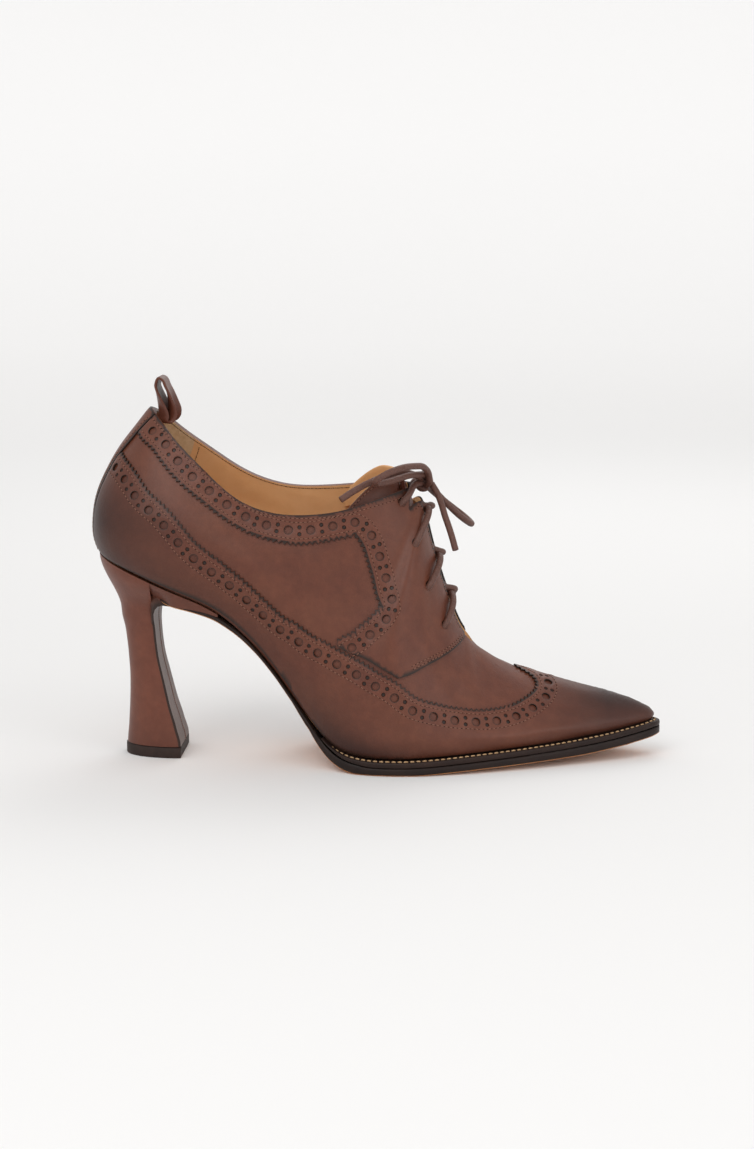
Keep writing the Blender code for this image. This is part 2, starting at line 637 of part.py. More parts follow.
def build_heel():
    """A flared block with a flat breast, whose seat runs forward as a wedge over the sole."""
    bm = bmesh.new()
    levels = np.array([row[0] for row in HEEL])
    heights = np.concatenate([levels[:1], np.linspace(levels[0], levels[-1], 8)[1:]])
    rings = []
    for z in heights:
        back, breast, half = (float(smooth_at(HEEL, z, column)) for column in (1, 2, 3))
        rings.append(add_verts(bm, [(x, y, z) for x, y in heel_ring(back, breast, half)]))
    neck = heel_ring(*HEEL[-1][1:])
    seat = seat_ring()
    meets_sole = (outsole_top(BREAST_X) + 2 * GAP - NECK_Z) / (feather_z(BREAST_X) - GAP - NECK_Z)
    for share in (meets_sole / 2, meets_sole, (1 + meets_sole) / 2, 1.0):
        swing = share ** 2 * (3 - 2 * share)
        plan = neck + (seat - neck) * swing
        top = feather_z(seat[:, 0]) - GAP
        rings.append(add_verts(bm, [(x, y, NECK_Z + (z - NECK_Z) * share) for (x, y), z in zip(plan, top)]))
    skin(bm, rings)
    breast_rows = [[ring[0], ring[-1]] for ring in rings[:len(heights) + 2]]
    skin(bm, breast_rows)
    cap(bm, rings[0])
    cap(bm, rings[-1])
    build_wedge(bm, rings)
    bmesh.ops.triangulate(bm, faces=[f for f in bm.faces if len(f.verts) > 3])
    bmesh.ops.recalc_face_normals(bm, faces=bm.faces)
    new_object("heel", bm, HEEL_BROWN, 0.42)


def cap(bm, ring):
    """Closes a ring with strips across it."""
    count = len(ring)
    skin(bm, [[ring[i], ring[count - 1 - i]] for i in range(count // 2 + 1)])


def build_wedge(bm, rings):
    first, last = float(station_at(BREAST_X)), float(station_at(WEDGE_END))
    stations = np.linspace(first, last, 9)[1:]
    lateral, medial = [[ring[0] for ring in rings[-3:]]], [[ring[-1] for ring in rings[-3:]]]
    for p in stations:
        for rows, place in ((lateral, LOOP - p), (medial, p)):
            x = read_line(LAST["feather"], place)[0]
            low = outline(place, at(MARGIN, x) - 0.2)
            high = outline(place, -0.2)
            low[2], high[2] = outsole_top(low[0]) + GAP, feather_z(high[0]) - GAP
            rows.append(add_verts(bm, [low, (low + high) / 2, high]))
    skin(bm, lateral)
    skin(bm, medial)
    skin(bm, [[a[0], b[0]] for a, b in zip(lateral, medial)])
    skin(bm, [[a[-1], b[-1]] for a, b in zip(lateral, medial)])
    skin(bm, [lateral[-1], medial[-1]])


def build_top_piece():
    z, back, breast, half = HEEL[0]
    ring = heel_ring(back - TOP_PIECE_MARGIN, breast + TOP_PIECE_MARGIN, half + TOP_PIECE_MARGIN)
    bm = bmesh.new()
    low = add_verts(bm, [(x, y, 0) for x, y in ring])
    high = add_verts(bm, [(x, y, TOP_PIECE_THICK) for x, y in ring])
    skin(bm, [low, high], closed=True)
    bm.faces.new(low)
    bm.faces.new(high)
    bmesh.ops.recalc_face_normals(bm, faces=bm.faces)
    new_object("top_piece", bm, SOLE_BROWN, 0.55)


def build_tongue():
    outer_depth = SHELL_DEPTH + WALL + 6 * GAP
    rows = []
    for station, half in TONGUE:
        shares = np.linspace(-1, 1, 9)
        heights = np.array([height_at_width(station, abs(share) * half) for share in shares])
        places = np.where(shares < 0, LOOP - station, station)
        rows.append([inset(places, heights, outer_depth + depth) for depth in (0, TONGUE_THICK)])
    rise = unit((rows[-1][0] - rows[-2][0])[4])
    for step, width in TONGUE_TIP:
        rows.append([])
        for face in rows[len(TONGUE) - 1]:
            across = np.abs(np.linspace(-1, 1, 9))[:, None]
            middle = face[4]
            narrow = middle + (face - middle) * width
            rows[-1].append(narrow + rise * step * (1 - 0.35 * across ** 2))
    bm = bmesh.new()
    grid = [add_verts(bm, np.concatenate([outer, inner[::-1]])) for outer, inner in rows]
    skin(bm, grid, closed=True)
    for ring in (grid[0], grid[-1]):
        skin(bm, [[ring[i], ring[-1 - i]] for i in range(len(ring) // 2)])
    bmesh.ops.recalc_face_normals(bm, faces=bm.faces)
    new_object("tongue", bm, LEATHER, 0.45)


def build_pull_loop():
    """A folded strap: a closed band whose middle line stands in the shoe's back plane."""
    middle = np.array(PULL_LOOP, float)
    along = np.roll(middle, -1, axis=0) - np.roll(middle, 1, axis=0)
    out = unit(np.column_stack([-along[:, 1], along[:, 0]]))
    bm = bmesh.new()
    rings = []
    for y in np.linspace(-LOOP_WIDTH / 2, LOOP_WIDTH / 2, 7):
        ring = []
        for side in (1, -1):
            edge = middle + out * side * LOOP_THICK / 2
            ring.append([(x + BACK_BEND * y * y * min(1, max(0, (160 - z) / 13)), y, z) for x, z in edge])
        rings.append([add_verts(bm, line) for line in ring])
    skin(bm, [ring[0] for ring in rings], closed=True)
    skin(bm, [ring[1] for ring in rings], closed=True)
    for ring in (rings[0], rings[-1]):
        skin(bm, ring, closed=True)
    bmesh.ops.recalc_face_normals(bm, faces=bm.faces)
    new_object("pull_loop", bm, LEATHER, 0.45)


def smooth_path(points, spacing):
    """Evenly spaced points on a smooth curve through a few points."""
    knots = np.array(points, float)
    steps = np.linalg.norm(np.diff(knots, axis=0), axis=1)
    place = np.concatenate([[0], np.cumsum(steps)])
    slopes = np.gradient(knots, place, axis=0)
    wanted = np.linspace(0, place[-1], max(3, round(place[-1] / spacing) + 1))
    index = np.clip(np.searchsorted(place, wanted, side="right") - 1, 0, len(steps) - 1)
    span = steps[index][:, None]
    t = ((wanted - place[index]) / steps[index])[:, None]
    return ((1 + 2 * t) * (1 - t) ** 2 * knots[index] + t * (1 - t) ** 2 * span * slopes[index]
            + t ** 2 * (3 - 2 * t) * knots[index + 1] + t ** 2 * (t - 1) * span * slopes[index + 1])


def cord(name, points, radius=LACE_RADIUS, spacing=5.6):
    path = smooth_path(points, spacing)
    curve = bpy.data.curves.new(name, "CURVE")
    curve.dimensions = "3D"
    spline = curve.splines.new("POLY")
    spline.points.add(len(path) - 1)
    for point, place in zip(spline.points, path):
        point.co = (*(Vector(place) * MM), 1)
    curve.bevel_depth = radius * MM
    curve.bevel_resolution = 2
    curve.use_fill_caps = True
    obj = bpy.data.objects.new(name, curve)
    SHOE.objects.link(obj)
    paint(obj, LACE_BROWN, 0.5)
    return obj


def joined(name, strands):
    """One solid from cords that cross: each becomes a mesh, and the union is kept."""
    bpy.context.view_layer.update()
    depsgraph = bpy.context.evaluated_depsgraph_get()
    total = None
    for strand in strands:
        mesh = bpy.data.meshes.new_from_object(strand.evaluated_get(depsgraph))
        bm = bmesh.new()
        bm.from_mesh(mesh)
        bmesh.ops.remove_doubles(bm, verts=bm.verts, dist=0.01 * MM)
        bm.to_mesh(mesh)
        bm.free()
        curve_name = strand.name
        bpy.data.objects.remove(strand)
        piece = bpy.data.objects.new(curve_name, mesh)
        if total is None:
            total = piece
            piece.name = name
            SHOE.objects.link(piece)
            paint(piece, LACE_BROWN, 0.5)
        else:
            CUTTERS.objects.link(piece)
            piece.hide_render = True
            piece.display_type = "WIRE"
            union = total.modifiers.new(curve_name, "BOOLEAN")
            union.operation = "UNION"
            union.object = piece
    return total


def lace_over(side, p, v, lift):
    """A point above the leather on one side."""
    place = p if side > 0 else LOOP - p
    return surface(place, v) + outward(place, v) * lift


def build_lace():
    """Three crossings between the four pairs of eyelets, then the knot and the bow."""
    above = LACE_RADIUS + 1.5 * GAP
    for number, (middle_p, (low_p, low_v)) in enumerate(zip(CROSSINGS, EYELETS[1:]), 1):
        edge_p = low_p + (middle_p - low_p) * 0.6
        edge_v = height_at_width(edge_p, THROAT_HALF_GAP)
        end_p = middle_p - 0.14
        end_v = height_at_width(end_p, 4.0)
        centre = surface(middle_p, 1.0) - outward(middle_p, 1.0) * 1.2
        strands = []
        for side in (1, -1):
            end = inset(end_p if side < 0 else LOOP - end_p, end_v, 1.9)
            route = [lace_over(side, low_p, low_v, above), lace_over(side, edge_p, edge_v, above), centre, end]
            strands.append(cord(f"strand_{number}_{side}", route, spacing=4.0))
        joined(f"lace_cross_{number}", strands)
    top_p, top_v = EYELETS[0]
    arms = [lace_over(side, top_p, top_v, above) for side in (1, -1)]
    x, y, z = KNOT
    arms = [arms[0], (x - 2.5, 6.5, z + 0.3), (x, 0, z), (x - 2.5, -6.5, z + 0.3), arms[1]]
    knot = cord("knot_core", [(x, -KNOT_HALF_LENGTH, z), (x, KNOT_HALF_LENGTH, z)], KNOT_RADIUS)
    joined("lace_knot", [knot, cord("knot_arms", arms, spacing=4.0)])
    for name, points in BOW.items():
        cord(name, points)


for leftover in list(bpy.data.objects):
    bpy.data.objects.remove(leftover)
SHOE = bpy.data.collections.new("heeled_oxford_shoe")
CUTTERS = bpy.data.collections.new("cutters")
for collection in (SHOE, CUTTERS):
    bpy.context.scene.collection.children.link(collection)

EYELET_CUTTERS = build_eyelet_cutters()
cut(build_upper(), EYELET_CUTTERS)
build_panels()
build_outsole()
build_insole()
build_welt()
build_heel()
build_top_piece()
build_tongue()
build_pull_loop()
build_lace()
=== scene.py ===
import math

import bmesh
import bpy
import numpy as np
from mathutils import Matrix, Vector
from mathutils.geometry import delaunay_2d_cdt


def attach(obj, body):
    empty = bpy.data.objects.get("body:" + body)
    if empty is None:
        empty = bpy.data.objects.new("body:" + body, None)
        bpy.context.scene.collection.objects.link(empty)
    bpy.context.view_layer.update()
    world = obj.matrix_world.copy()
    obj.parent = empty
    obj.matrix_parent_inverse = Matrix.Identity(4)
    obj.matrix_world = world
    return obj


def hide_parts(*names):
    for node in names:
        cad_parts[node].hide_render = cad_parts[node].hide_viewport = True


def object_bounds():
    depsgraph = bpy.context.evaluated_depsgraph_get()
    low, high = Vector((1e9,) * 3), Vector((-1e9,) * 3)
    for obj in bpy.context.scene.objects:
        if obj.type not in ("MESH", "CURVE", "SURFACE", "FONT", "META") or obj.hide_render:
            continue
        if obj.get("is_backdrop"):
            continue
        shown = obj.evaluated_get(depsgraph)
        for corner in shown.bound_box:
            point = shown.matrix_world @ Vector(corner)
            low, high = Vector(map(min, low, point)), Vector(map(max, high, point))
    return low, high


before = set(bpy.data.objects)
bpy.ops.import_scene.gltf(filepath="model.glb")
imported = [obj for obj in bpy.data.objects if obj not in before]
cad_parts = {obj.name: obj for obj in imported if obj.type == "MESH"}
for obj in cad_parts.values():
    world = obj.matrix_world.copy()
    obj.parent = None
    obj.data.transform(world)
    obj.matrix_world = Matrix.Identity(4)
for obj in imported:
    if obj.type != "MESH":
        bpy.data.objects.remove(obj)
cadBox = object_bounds()

# Lengths are in mm. A place on the leather is (station, height): the station runs from the heel's back along the
# medial side to the toe and back along the lateral side, the height from the sole (0) to the top edge (1).
mm = 0.001
gap = 0.3
wall = 1.8
overlayThick = 0.9
shellDepth = 1.75
lastStation = 19
loopStations = 38
fineSteps = 24
lastSmoothing = 120
sideHeight = 0.2
stationMm, heightMm = 12, 70
footHeight, collarHeight = 0.012, 0.997

# The last as in the CAD, a row for each station: x, lateral y, medial y, and one or both sides' z.
featherTable = [
    (-127.6, 0, 0, 89.0), (-122.0, -14, 14, 86.4), (-110, -22.5, 22.5, 81.5), (-93, -26.0, 25.2, 74.4),
    (-76, -25.8, 23.5, 67.3), (-62, -24.5, 20.5, 55.7), (-51, -24.2, 18.6, 42.7), (-40, -26.3, 19.0, 27.7),
    (-30.5, -30.5, 23.0, 15.5), (-20, -36, 29.0, 7.8), (-7, -40.3, 34.8, 6.1), (6, -41.2, 38.3, 6.1),
    (20, -39.2, 39.4, 6.7), (36, -34.6, 37.2, 7.7), (54, -27.9, 31.3, 8.7), (73, -19.6, 23.8, 9.9),
    (91, -11.4, 16.6, 11.7), (103, -4.9, 11.6, 13.4), (111.0, 0.0, 8.0, 14.8), (113.6, 4.2, 4.2, 15.4),
]
sideTable = [
    (-130.0, 0, 0, 100.2), (-125.0, -15.6, 16.4, 99.8), (-112, -25.8, 26.2, 98.6), (-95, -30.8, 30.3, 96.5),
    (-77, -31.5, 29.8, 90.5), (-61, -31.6, 27.2, 82.5), (-47, -32.0, 26.6, 71.5), (-35, -33.4, 28.0, 56.6),
    (-25, -36.2, 31.4, 37.8), (-15, -40.0, 35.4, 23), (-3, -42.4, 37.8, 16.8), (9, -42.2, 40.4, 14.8),
    (22, -40.2, 40.8, 14.2), (38, -35.4, 38.0, 14.2), (55, -28.8, 32.2, 14.4), (74, -20.4, 24.6, 14.9),
    (92, -12.2, 17.4, 15.7), (104, -5.6, 12.2, 16.5), (111.8, -0.3, 8.3, 17.0), (114.3, 4.2, 4.2, 17.2),
]
topTable = [
    (-104.5, 0, 0, 151.7, 151.7), (-99.5, -9.0, 9.0, 147.4, 148.5), (-91.5, -16.0, 16.5, 138.4, 140.4),
    (-79.1, -21.5, 22.0, 126.8, 130.9), (-62, -25.0, 24.5, 112.1, 119.5), (-42.6, -26.0, 25.3, 107.4, 114.4),
    (-24, -25.6, 24.8, 108.6, 115.2), (-7.7, -21.4, 21.0, 113.4, 117.2), (3.5, -13.2, 13.2, 116.7, 118.4),
    (12.2, 0, 0, 118.8, 118.8), (18.0, 0, 0, 93.8, 93.8), (25.4, 0, 0, 70.8, 70.8), (33.6, 0.4, 0.4, 52.2, 52.2),
    (45, 1.0, 1.0, 43.2, 43.2), (60, 1.8, 1.8, 37.2, 37.2), (77, 2.7, 2.7, 32.2, 32.2),
    (92, 3.4, 3.4, 28.2, 28.2), (100.5, 3.8, 3.8, 25.6, 25.6), (104.0, 4.0, 4.0, 24.4, 24.4),
    (104.4, 4.0, 4.0, 24.2, 24.2),
]
# How the last's ribs leave these lines: turn, splay and crown in degrees, lean, fullness at the side and the top.
ribTable = [
    (-90, 20, 41, 0, 0.95, 0.95), (-62, 24, 37, 0, 0.95, 0.95), (-36, 26, 26, 0, 0.95, 0.95),
    (-12, 26, 14, 0, 0.95, 0.95), (0, 24, 9, 0, 0.95, 0.95), (0, 22, 7, 0, 0.90, 0.95),
    (0, 22, 9, 0, 0.85, 0.95), (0, 20, 14, -0.05, 0.75, 0.95), (0, 20, 28, -0.12, 0.60, 0.95),
    (0, 18, 58, -0.2, 0.50, 0.95), (0, 16, 90, 0, 0.42, 0.90), (0, 14, 90, 0, 0.36, 0.85),
    (0, 14, 90, 0, 0.32, 0.82), (0, 14, 90, 0, 0.30, 0.80), (0, 14, 90, 0, 0.30, 0.80),
    (0, 14, 90, 0, 0.34, 0.80), (2, 14, 90, 0, 0.40, 0.80), (24, 16, 82, 0, 0.55, 0.84),
    (60, 18, 70, 0, 0.70, 0.86), (90, 18, 62, 0, 0.75, 0.86),
]


def pchip(values, x):
    count = len(values)
    step = np.roll(values, -1) - values
    before = np.roll(step, 1)
    same = before * step > 0
    slope = np.where(same, 2 * before * step / np.where(same, before + step, 1), 0)
    index = np.floor(x).astype(int)
    t = x - index
    a, b = index % count, (index + 1) % count
    rise = values[b] - values[a]
    return (values[a] + t * slope[a] + t ** 2 * (3 * rise - 2 * slope[a] - slope[b])
            + t ** 3 * (slope[a] + slope[b] - 2 * rise))


def softened(loop, times):
    for _ in range(times):
        loop = (np.roll(loop, 1, axis=0) + 2 * loop + np.roll(loop, -1, axis=0)) / 4
    return loop


def smoothLoop(medial, lateral):
    loop = np.concatenate([medial, lateral[-2:0:-1]]).astype(float)
    return softened(pchip(loop, np.arange(len(loop) * fineSteps) / fineSteps), lastSmoothing)


def smoothPoints(rows, lateralZ, medialZ):
    rows = np.array(rows, float)
    return np.column_stack([smoothLoop(rows[:, m], rows[:, l]) for m, l in ((0, 0), (2, 1), (medialZ, lateralZ))])


def unit(vectors):
    return vectors / np.linalg.norm(vectors, axis=-1, keepdims=True)


def planNormals(points):
    along = np.roll(points, -1, axis=0) - np.roll(points, 1, axis=0)
    return unit(np.column_stack([-along[:, 1], along[:, 0], np.zeros(len(along))]))


def lastLines():
    feather, side = smoothPoints(featherTable, 3, 3), smoothPoints(sideTable, 3, 3)
    top = smoothPoints(topTable, 3, 4)
    rib = np.array(ribTable, float)
    turn, splay, crown = np.radians(rib[:, 0]), np.radians(rib[:, 1]), np.radians(rib[:, 2])
    splay, crown, lean, fullSide, fullTop = (
        smoothLoop(column, column)[:, None] for column in (splay, crown, rib[:, 3], rib[:, 4], rib[:, 5]))
    outTop = unit(np.column_stack([
        smoothLoop(np.sin(turn), np.sin(turn)), smoothLoop(np.cos(turn), -np.cos(turn)), 0 * top[:, 0]]))
    outFeather, outSide = planNormals(feather), planNormals(side)
    rise = top - feather
    rise = unit(rise - (rise * outSide).sum(1, keepdims=True) * outSide)
    upTop = unit(np.column_stack([lean[:, 0], 0 * lean[:, 0], 1 + 0 * lean[:, 0]]))
    leave = np.cos(splay) * rise + np.sin(splay) * outFeather
    arrive = np.cos(crown) * upTop - np.sin(crown) * outTop
    handle = 0.37
    low = handle * np.linalg.norm(side - feather, axis=1, keepdims=True)
    high = handle * np.linalg.norm(top - side, axis=1, keepdims=True)
    return {
        "feather": feather, "out": outFeather,
        "low": (feather, feather + leave * low, side - rise * low, side),
        "high": (side, side + rise * high * fullSide, top - arrive * high * fullTop, top)}


last = lastLines()


def readLine(line, p):
    x = np.asarray(p, float) * fineSteps
    index = np.floor(x).astype(int)
    share = (x - index)[..., None]
    return line[index % len(line)] * (1 - share) + line[(index + 1) % len(line)] * share


def surface(p, v):
    p, v = np.broadcast_arrays(np.asarray(p, float), np.asarray(v, float))
    low = v < sideHeight
    t = np.where(low, v / sideHeight, (v - sideHeight) / (1 - sideHeight))[..., None]
    total = 0
    for index, weight in enumerate(((1 - t) ** 3, 3 * t * (1 - t) ** 2, 3 * t ** 2 * (1 - t), t ** 3)):
        total = total + weight * np.where(
            low[..., None], readLine(last["low"][index], p), readLine(last["high"][index], p))
    return total


def outward(p, v):
    p, v = np.broadcast_arrays(np.asarray(p, float), np.asarray(v, float))
    nearTip = np.abs(p - lastStation) < 2
    step = 0.02
    v = np.clip(v, step, np.where(nearTip, 0.95, 0.98))
    along = surface(p + step, v) - surface(p - step, v)
    up = surface(p, v + step) - surface(p, v - step)
    return unit(np.cross(up, along))


# The same place counted from the heel's back, whichever side it is on.
def folded(p):
    p = np.mod(p, loopStations)
    return np.where(p > lastStation, loopStations - p, p)


# The same places on the other side of the shoe.
def otherSide(places):
    return np.array([(loopStations - p, v) for p, v in places])


# Points on the last's surface, and its directions outwards, for a line of places.
def spotsOf(line):
    return surface(line[:, 0], line[:, 1])


def normalsOf(line):
    return outward(line[:, 0], line[:, 1])


# Soft creases of the worn leather: side (0 is both, -1 lateral), two ends as (station, height), width and depth.
creases = [
    (0, 12.35, 0.97, 12.9, 0.66, 3.2, 0.45), (0, 12.9, 0.95, 13.25, 0.70, 2.6, 0.30),
    (0, 11.9, 0.60, 12.6, 0.50, 3.0, 0.35),
    (-1, 6.1, 0.70, 7.3, 0.52, 6.0, 0.50), (-1, 4.6, 0.55, 6.4, 0.40, 7.0, 0.45), (-1, 9.9, 0.62, 10.8, 0.52, 4.0, 0.2),
    (1, 6.3, 0.66, 7.5, 0.50, 6.0, 0.50), (1, 4.4, 0.55, 6.2, 0.42, 7.0, 0.45),
    (-1, 8.2, 0.22, 10.4, 0.27, 5.0, 0.35), (1, 8.0, 0.22, 10.2, 0.27, 5.0, 0.35),
    (0, 13.9, 0.35, 14.9, 0.42, 5.0, 0.25),
    (-1, 2.6, 0.30, 3.6, 0.16, 5.0, 0.35), (-1, 10.6, 0.70, 11.4, 0.62, 3.0, 0.30),
]


def relief(p, v):
    p, v = np.broadcast_arrays(np.asarray(p, float), np.asarray(v, float))
    lateral = np.mod(p, loopStations) > lastStation
    q = folded(p)
    x, y = q * stationMm, v * heightMm
    total = 0.18 * np.sin(q * 2.3 + v * 9) * np.sin(v * 13 + q * 0.9) * (v < 0.95)
    for side, p0, v0, p1, v1, width, depth in creases:
        ax, ay = p0 * stationMm, v0 * heightMm
        dx, dy = p1 * stationMm - ax, v1 * heightMm - ay
        t = np.clip(((x - ax) * dx + (y - ay) * dy) / (dx * dx + dy * dy), 0, 1)
        away = np.hypot(x - ax - t * dx, y - ay - t * dy) / width
        trough = -depth * (1 - 0.6 * np.abs(2 * t - 1)) * np.exp(-away ** 2)
        ridge = 0.45 * depth * np.exp(-((away - 1.7) ** 2) * 2)
        keep = 1.0 if side == 0 else np.where(lateral == (side < 0), 1.0, 0.0)
        total = total + keep * (trough + ridge)
    return total


def place(p, v, depth):
    return surface(p, v) + outward(p, v) * (relief(p, v) - depth)[..., None]


def at(table, x):
    rows = np.array(table, float)
    return np.interp(x, rows[:, 0], rows[:, 1])


def smoothAt(table, x, column=1):
    rows = np.array(table, float)
    loop = np.concatenate([rows[:, column], rows[-2:0:-1, column]])
    return pchip(loop, np.interp(x, rows[:, 0], np.arange(len(rows))))


def featherZ(x):
    half = last["feather"][:lastStation * fineSteps + 1]
    return np.interp(x, half[:, 0], half[:, 2])


def stationAt(x):
    half = last["feather"][:lastStation * fineSteps + 1, 0]
    return float(np.interp(x, half, np.arange(len(half)) / fineSteps))


def outline(p, margin):
    return readLine(last["feather"], p) + readLine(last["out"], p) * np.asarray(margin, float)[..., None]


def heightAtWidth(p, width):
    low, high = sideHeight, 1.0
    ridge = surface(p, 1.0)[1]
    for _ in range(40):
        middle = (low + high) / 2
        low, high = (middle, high) if surface(p, middle)[1] - ridge > width else (low, middle)
    return low


throat = {"halfGap": 6.5, "round": 0.8, "end": 12.2}
nearCorner = np.linspace(lastStation * 0.4, lastStation * 0.5, 400)
corner = float(nearCorner[np.argmax(surface(nearCorner, 1.0)[:, 1] < throat["halfGap"])])


def ribTop(p):
    share = np.clip((p - throat["end"] + throat["round"]) / throat["round"], 0, 1)
    width = throat["halfGap"] * math.sqrt(1 - share ** 2)
    if p < corner - 1 or width == 0 or abs(surface(p, 1.0)[1]) >= width:
        return 1.0
    return heightAtWidth(p, width)


# ---- meshes ----
def linear(hexColour):
    parts = [int(hexColour[i:i + 2], 16) / 255 for i in (1, 3, 5)]
    return tuple(c / 12.92 if c <= 0.04045 else ((c + 0.055) / 1.055) ** 2.4 for c in parts) + (1.0,)


def newObject(name, data):
    obj = bpy.data.objects.new(name, data)
    bpy.context.scene.collection.objects.link(obj)
    return obj


def register(obj, nodes=()):
    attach(obj, "root")
    if nodes:
        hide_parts(*nodes)
    return obj


def finishObject(name, mesh, materials, nodes):
    obj = newObject(name, mesh)
    for material in materials:
        mesh.materials.append(material)
    mesh.shade_smooth()
    mesh.set_sharp_from_angle(angle=math.radians(50))
    return register(obj, nodes)


def polyCurve(name, lines):
    curve = bpy.data.curves.new(name, "CURVE")
    curve.dimensions = "3D"
    for line in lines:
        spline = curve.splines.new("POLY")
        spline.points.add(len(line) - 1)
        for point, spot in zip(spline.points, line):
            point.co = (*(np.asarray(spot) * mm), 1)
    return curve


# Turns an object into the mesh that it shows and takes the object away.
def baked(obj):
    bpy.context.view_layer.update()
    mesh = bpy.data.meshes.new_from_object(obj.evaluated_get(bpy.context.evaluated_depsgraph_get()))
    bpy.data.objects.remove(obj)
    return mesh


def meshFrom(name, points, faces, kinds=None, shades=None):
    mesh = bpy.data.meshes.new(name)
    mesh.from_pydata([tuple(q) for q in np.asarray(points) * mm], [], faces)
    if kinds is not None:
        mesh.polygons.foreach_set("material_index", np.array(kinds, dtype=np.int32))
    for key, numbers in (shades or {}).items():
        values = np.array(numbers, dtype=np.float32)
        mesh.attributes.new(key, "FLOAT", "POINT").data.foreach_set("value", values)
    bm = bmesh.new()
    bm.from_mesh(mesh)
    bmesh.ops.recalc_face_normals(bm, faces=bm.faces)
    bm.to_mesh(mesh)
    bm.free()
    return mesh


def strip(rows, closed):
    faces, count = [], len(rows[0])
    for i in range(len(rows) - 1):
        for j in range(count if closed else count - 1):
            a, b = i * count + j, i * count + (j + 1) % count
            faces.append([a, b, b + count, a + count])
    return faces


# A piece skinned through rows of points, closed round each row and capped at both ends.
def loft(name, rows, materials, nodes, kindOf=lambda j: 0, polish=None, edge=0.0):
    points, count = np.array(rows).reshape(-1, 3), len(rows[0])
    faces = strip(rows, True) + [list(range(count))[::-1], list(range(len(points) - count, len(points)))]
    kinds = [kindOf(j) for _ in rows[1:] for j in range(count)] + [0, 0]
    shades = None if polish is None else {
        "burnish": np.broadcast_to(polish, len(points)), "edge": np.broadcast_to(edge, len(points))}
    return finishObject(name, meshFrom(name, points, faces, kinds, shades), materials, nodes)


# How much darker the polish is: toe, counter, lower edge and the ball of the foot.
def burnish(p, v):
    q = folded(p)
    toeDark = np.clip((q - 14.1) / 2.0, 0, 1) * (0.35 + 0.65 * np.clip(v * 1.4, 0, 1))
    counter = 1.25 * np.exp(-(q / 2.7) ** 2) * np.exp(-((v - 0.25) / 0.30) ** 2)
    low = 0.28 * np.exp(-((v - 0.02) / 0.08) ** 2)
    ball = 0.6 * np.exp(-((q - 9.3) / 1.6) ** 2) * np.exp(-((v - 0.05) / 0.13) ** 2)
    return np.clip(0.95 * toeDark + 0.8 * counter + low + ball, 0, 1)


# A leather sheet between two depths under the last's surface; its rim is closed and may be dark, and its points sunk
# for dimples are painted dark as the shade inside them.
def sheet(name, spots, faces, outside, inside, rimDrop, materials, kindOf, nodes, sinks=None,
          wallKind=lambda p, v: 0, darkRim=1.0):
    spots = np.array(spots, float)
    keys, number = {}, []
    for point in map(tuple, np.round(spotsOf(spots), 2)):
        number.append(keys.setdefault(point, len(keys)))
    number = np.array(number)
    chosen = np.zeros(len(keys), int)
    chosen[number[::-1]] = np.arange(len(number))[::-1]
    spots = spots[chosen]
    sunk = np.array(sinks)[chosen] if sinks is not None else np.zeros(len(spots))
    rings, edges = [], {}
    for face in faces:
        ring = [int(number[i]) for i in face]
        ring = [n for k, n in enumerate(ring) if n not in ring[:k]]
        if len(ring) > 2:
            rings.append(ring)
            for a, b in zip(ring, ring[1:] + ring[:1]):
                edges[(a, b)] = True
    border = [(a, b) for a, b in edges if (b, a) not in edges]
    rim = np.zeros(len(spots))
    rim[[a for a, b in border] + [b for a, b in border]] = 1
    p, v = spots[:, 0], spots[:, 1]
    outer, inner = place(p, v, outside + rim * rimDrop + sunk), place(p, v, inside + 0 * p)
    # The rim gets the dark cut-edge colour; the dimples' sunk points get the same dark colour as painted shade inside
    # them.
    dark = np.maximum(rim * darkRim, np.clip(sunk * 3, 0, 1))
    count = len(spots)
    allFaces = rings + [[n + count for n in reversed(ring)] for ring in rings]
    allFaces += [[b, a, a + count, b + count] for a, b in border]
    middles = np.array([spots[ring].mean(axis=0) for ring in rings])
    kinds = [0] * len(rings) + [kindOf(q, h) for q, h in middles]
    kinds += [wallKind(*spots[a]) for a, b in border]
    shade = burnish(p, v)
    mesh = meshFrom(name, np.concatenate([outer, inner]), allFaces, kinds,
                    {"burnish": np.concatenate([shade, shade]), "edge": np.concatenate([dark, dark])})
    return finishObject(name, mesh, materials, nodes)


# ---- lines on the leather, as (station, height) on the lateral side ----
def stepsOf(points):
    return np.linalg.norm(np.diff(points, axis=0), axis=1)


def sums(steps):
    return np.concatenate([[0], np.cumsum(steps)])


# A smooth path through the knots, whose distances are the steps, cut into even lengths.
def hermite(knots, steps, count=None, spacing=1.0):
    sofar = sums(steps)
    slopes = np.gradient(knots, sofar, axis=0)
    wanted = np.linspace(0, sofar[-1], count or max(3, round(sofar[-1] / spacing) + 1))
    index = np.clip(np.searchsorted(sofar, wanted, side="right") - 1, 0, len(steps) - 1)
    column = (-1,) + (1,) * (knots.ndim - 1)
    span, t = steps[index].reshape(column), ((wanted - sofar[index]) / steps[index]).reshape(column)
    return ((1 + 2 * t) * (1 - t) ** 2 * knots[index] + t * (1 - t) ** 2 * span * slopes[index]
            + t ** 2 * (3 - 2 * t) * knots[index + 1] + t ** 2 * (t - 1) * span * slopes[index + 1])


def smoothPath(points, spacing):
    knots = np.array(points, float)
    return hermite(knots, stepsOf(knots), spacing=spacing)


# Rows of points run smoothly through the given rows, evenly along their middle.
def evenRows(rows, count):
    knots = np.array(rows, float)
    return list(hermite(knots, stepsOf(knots[:, len(knots[0]) // 2]), count))


def throughPoints(points):
    path = smoothPath(np.array(points, float) * (stationMm, heightMm), 1.0) / (stationMm, heightMm)
    path[:, 1] = np.clip(path[:, 1], 0.0, 1.0)
    return otherSide(path)


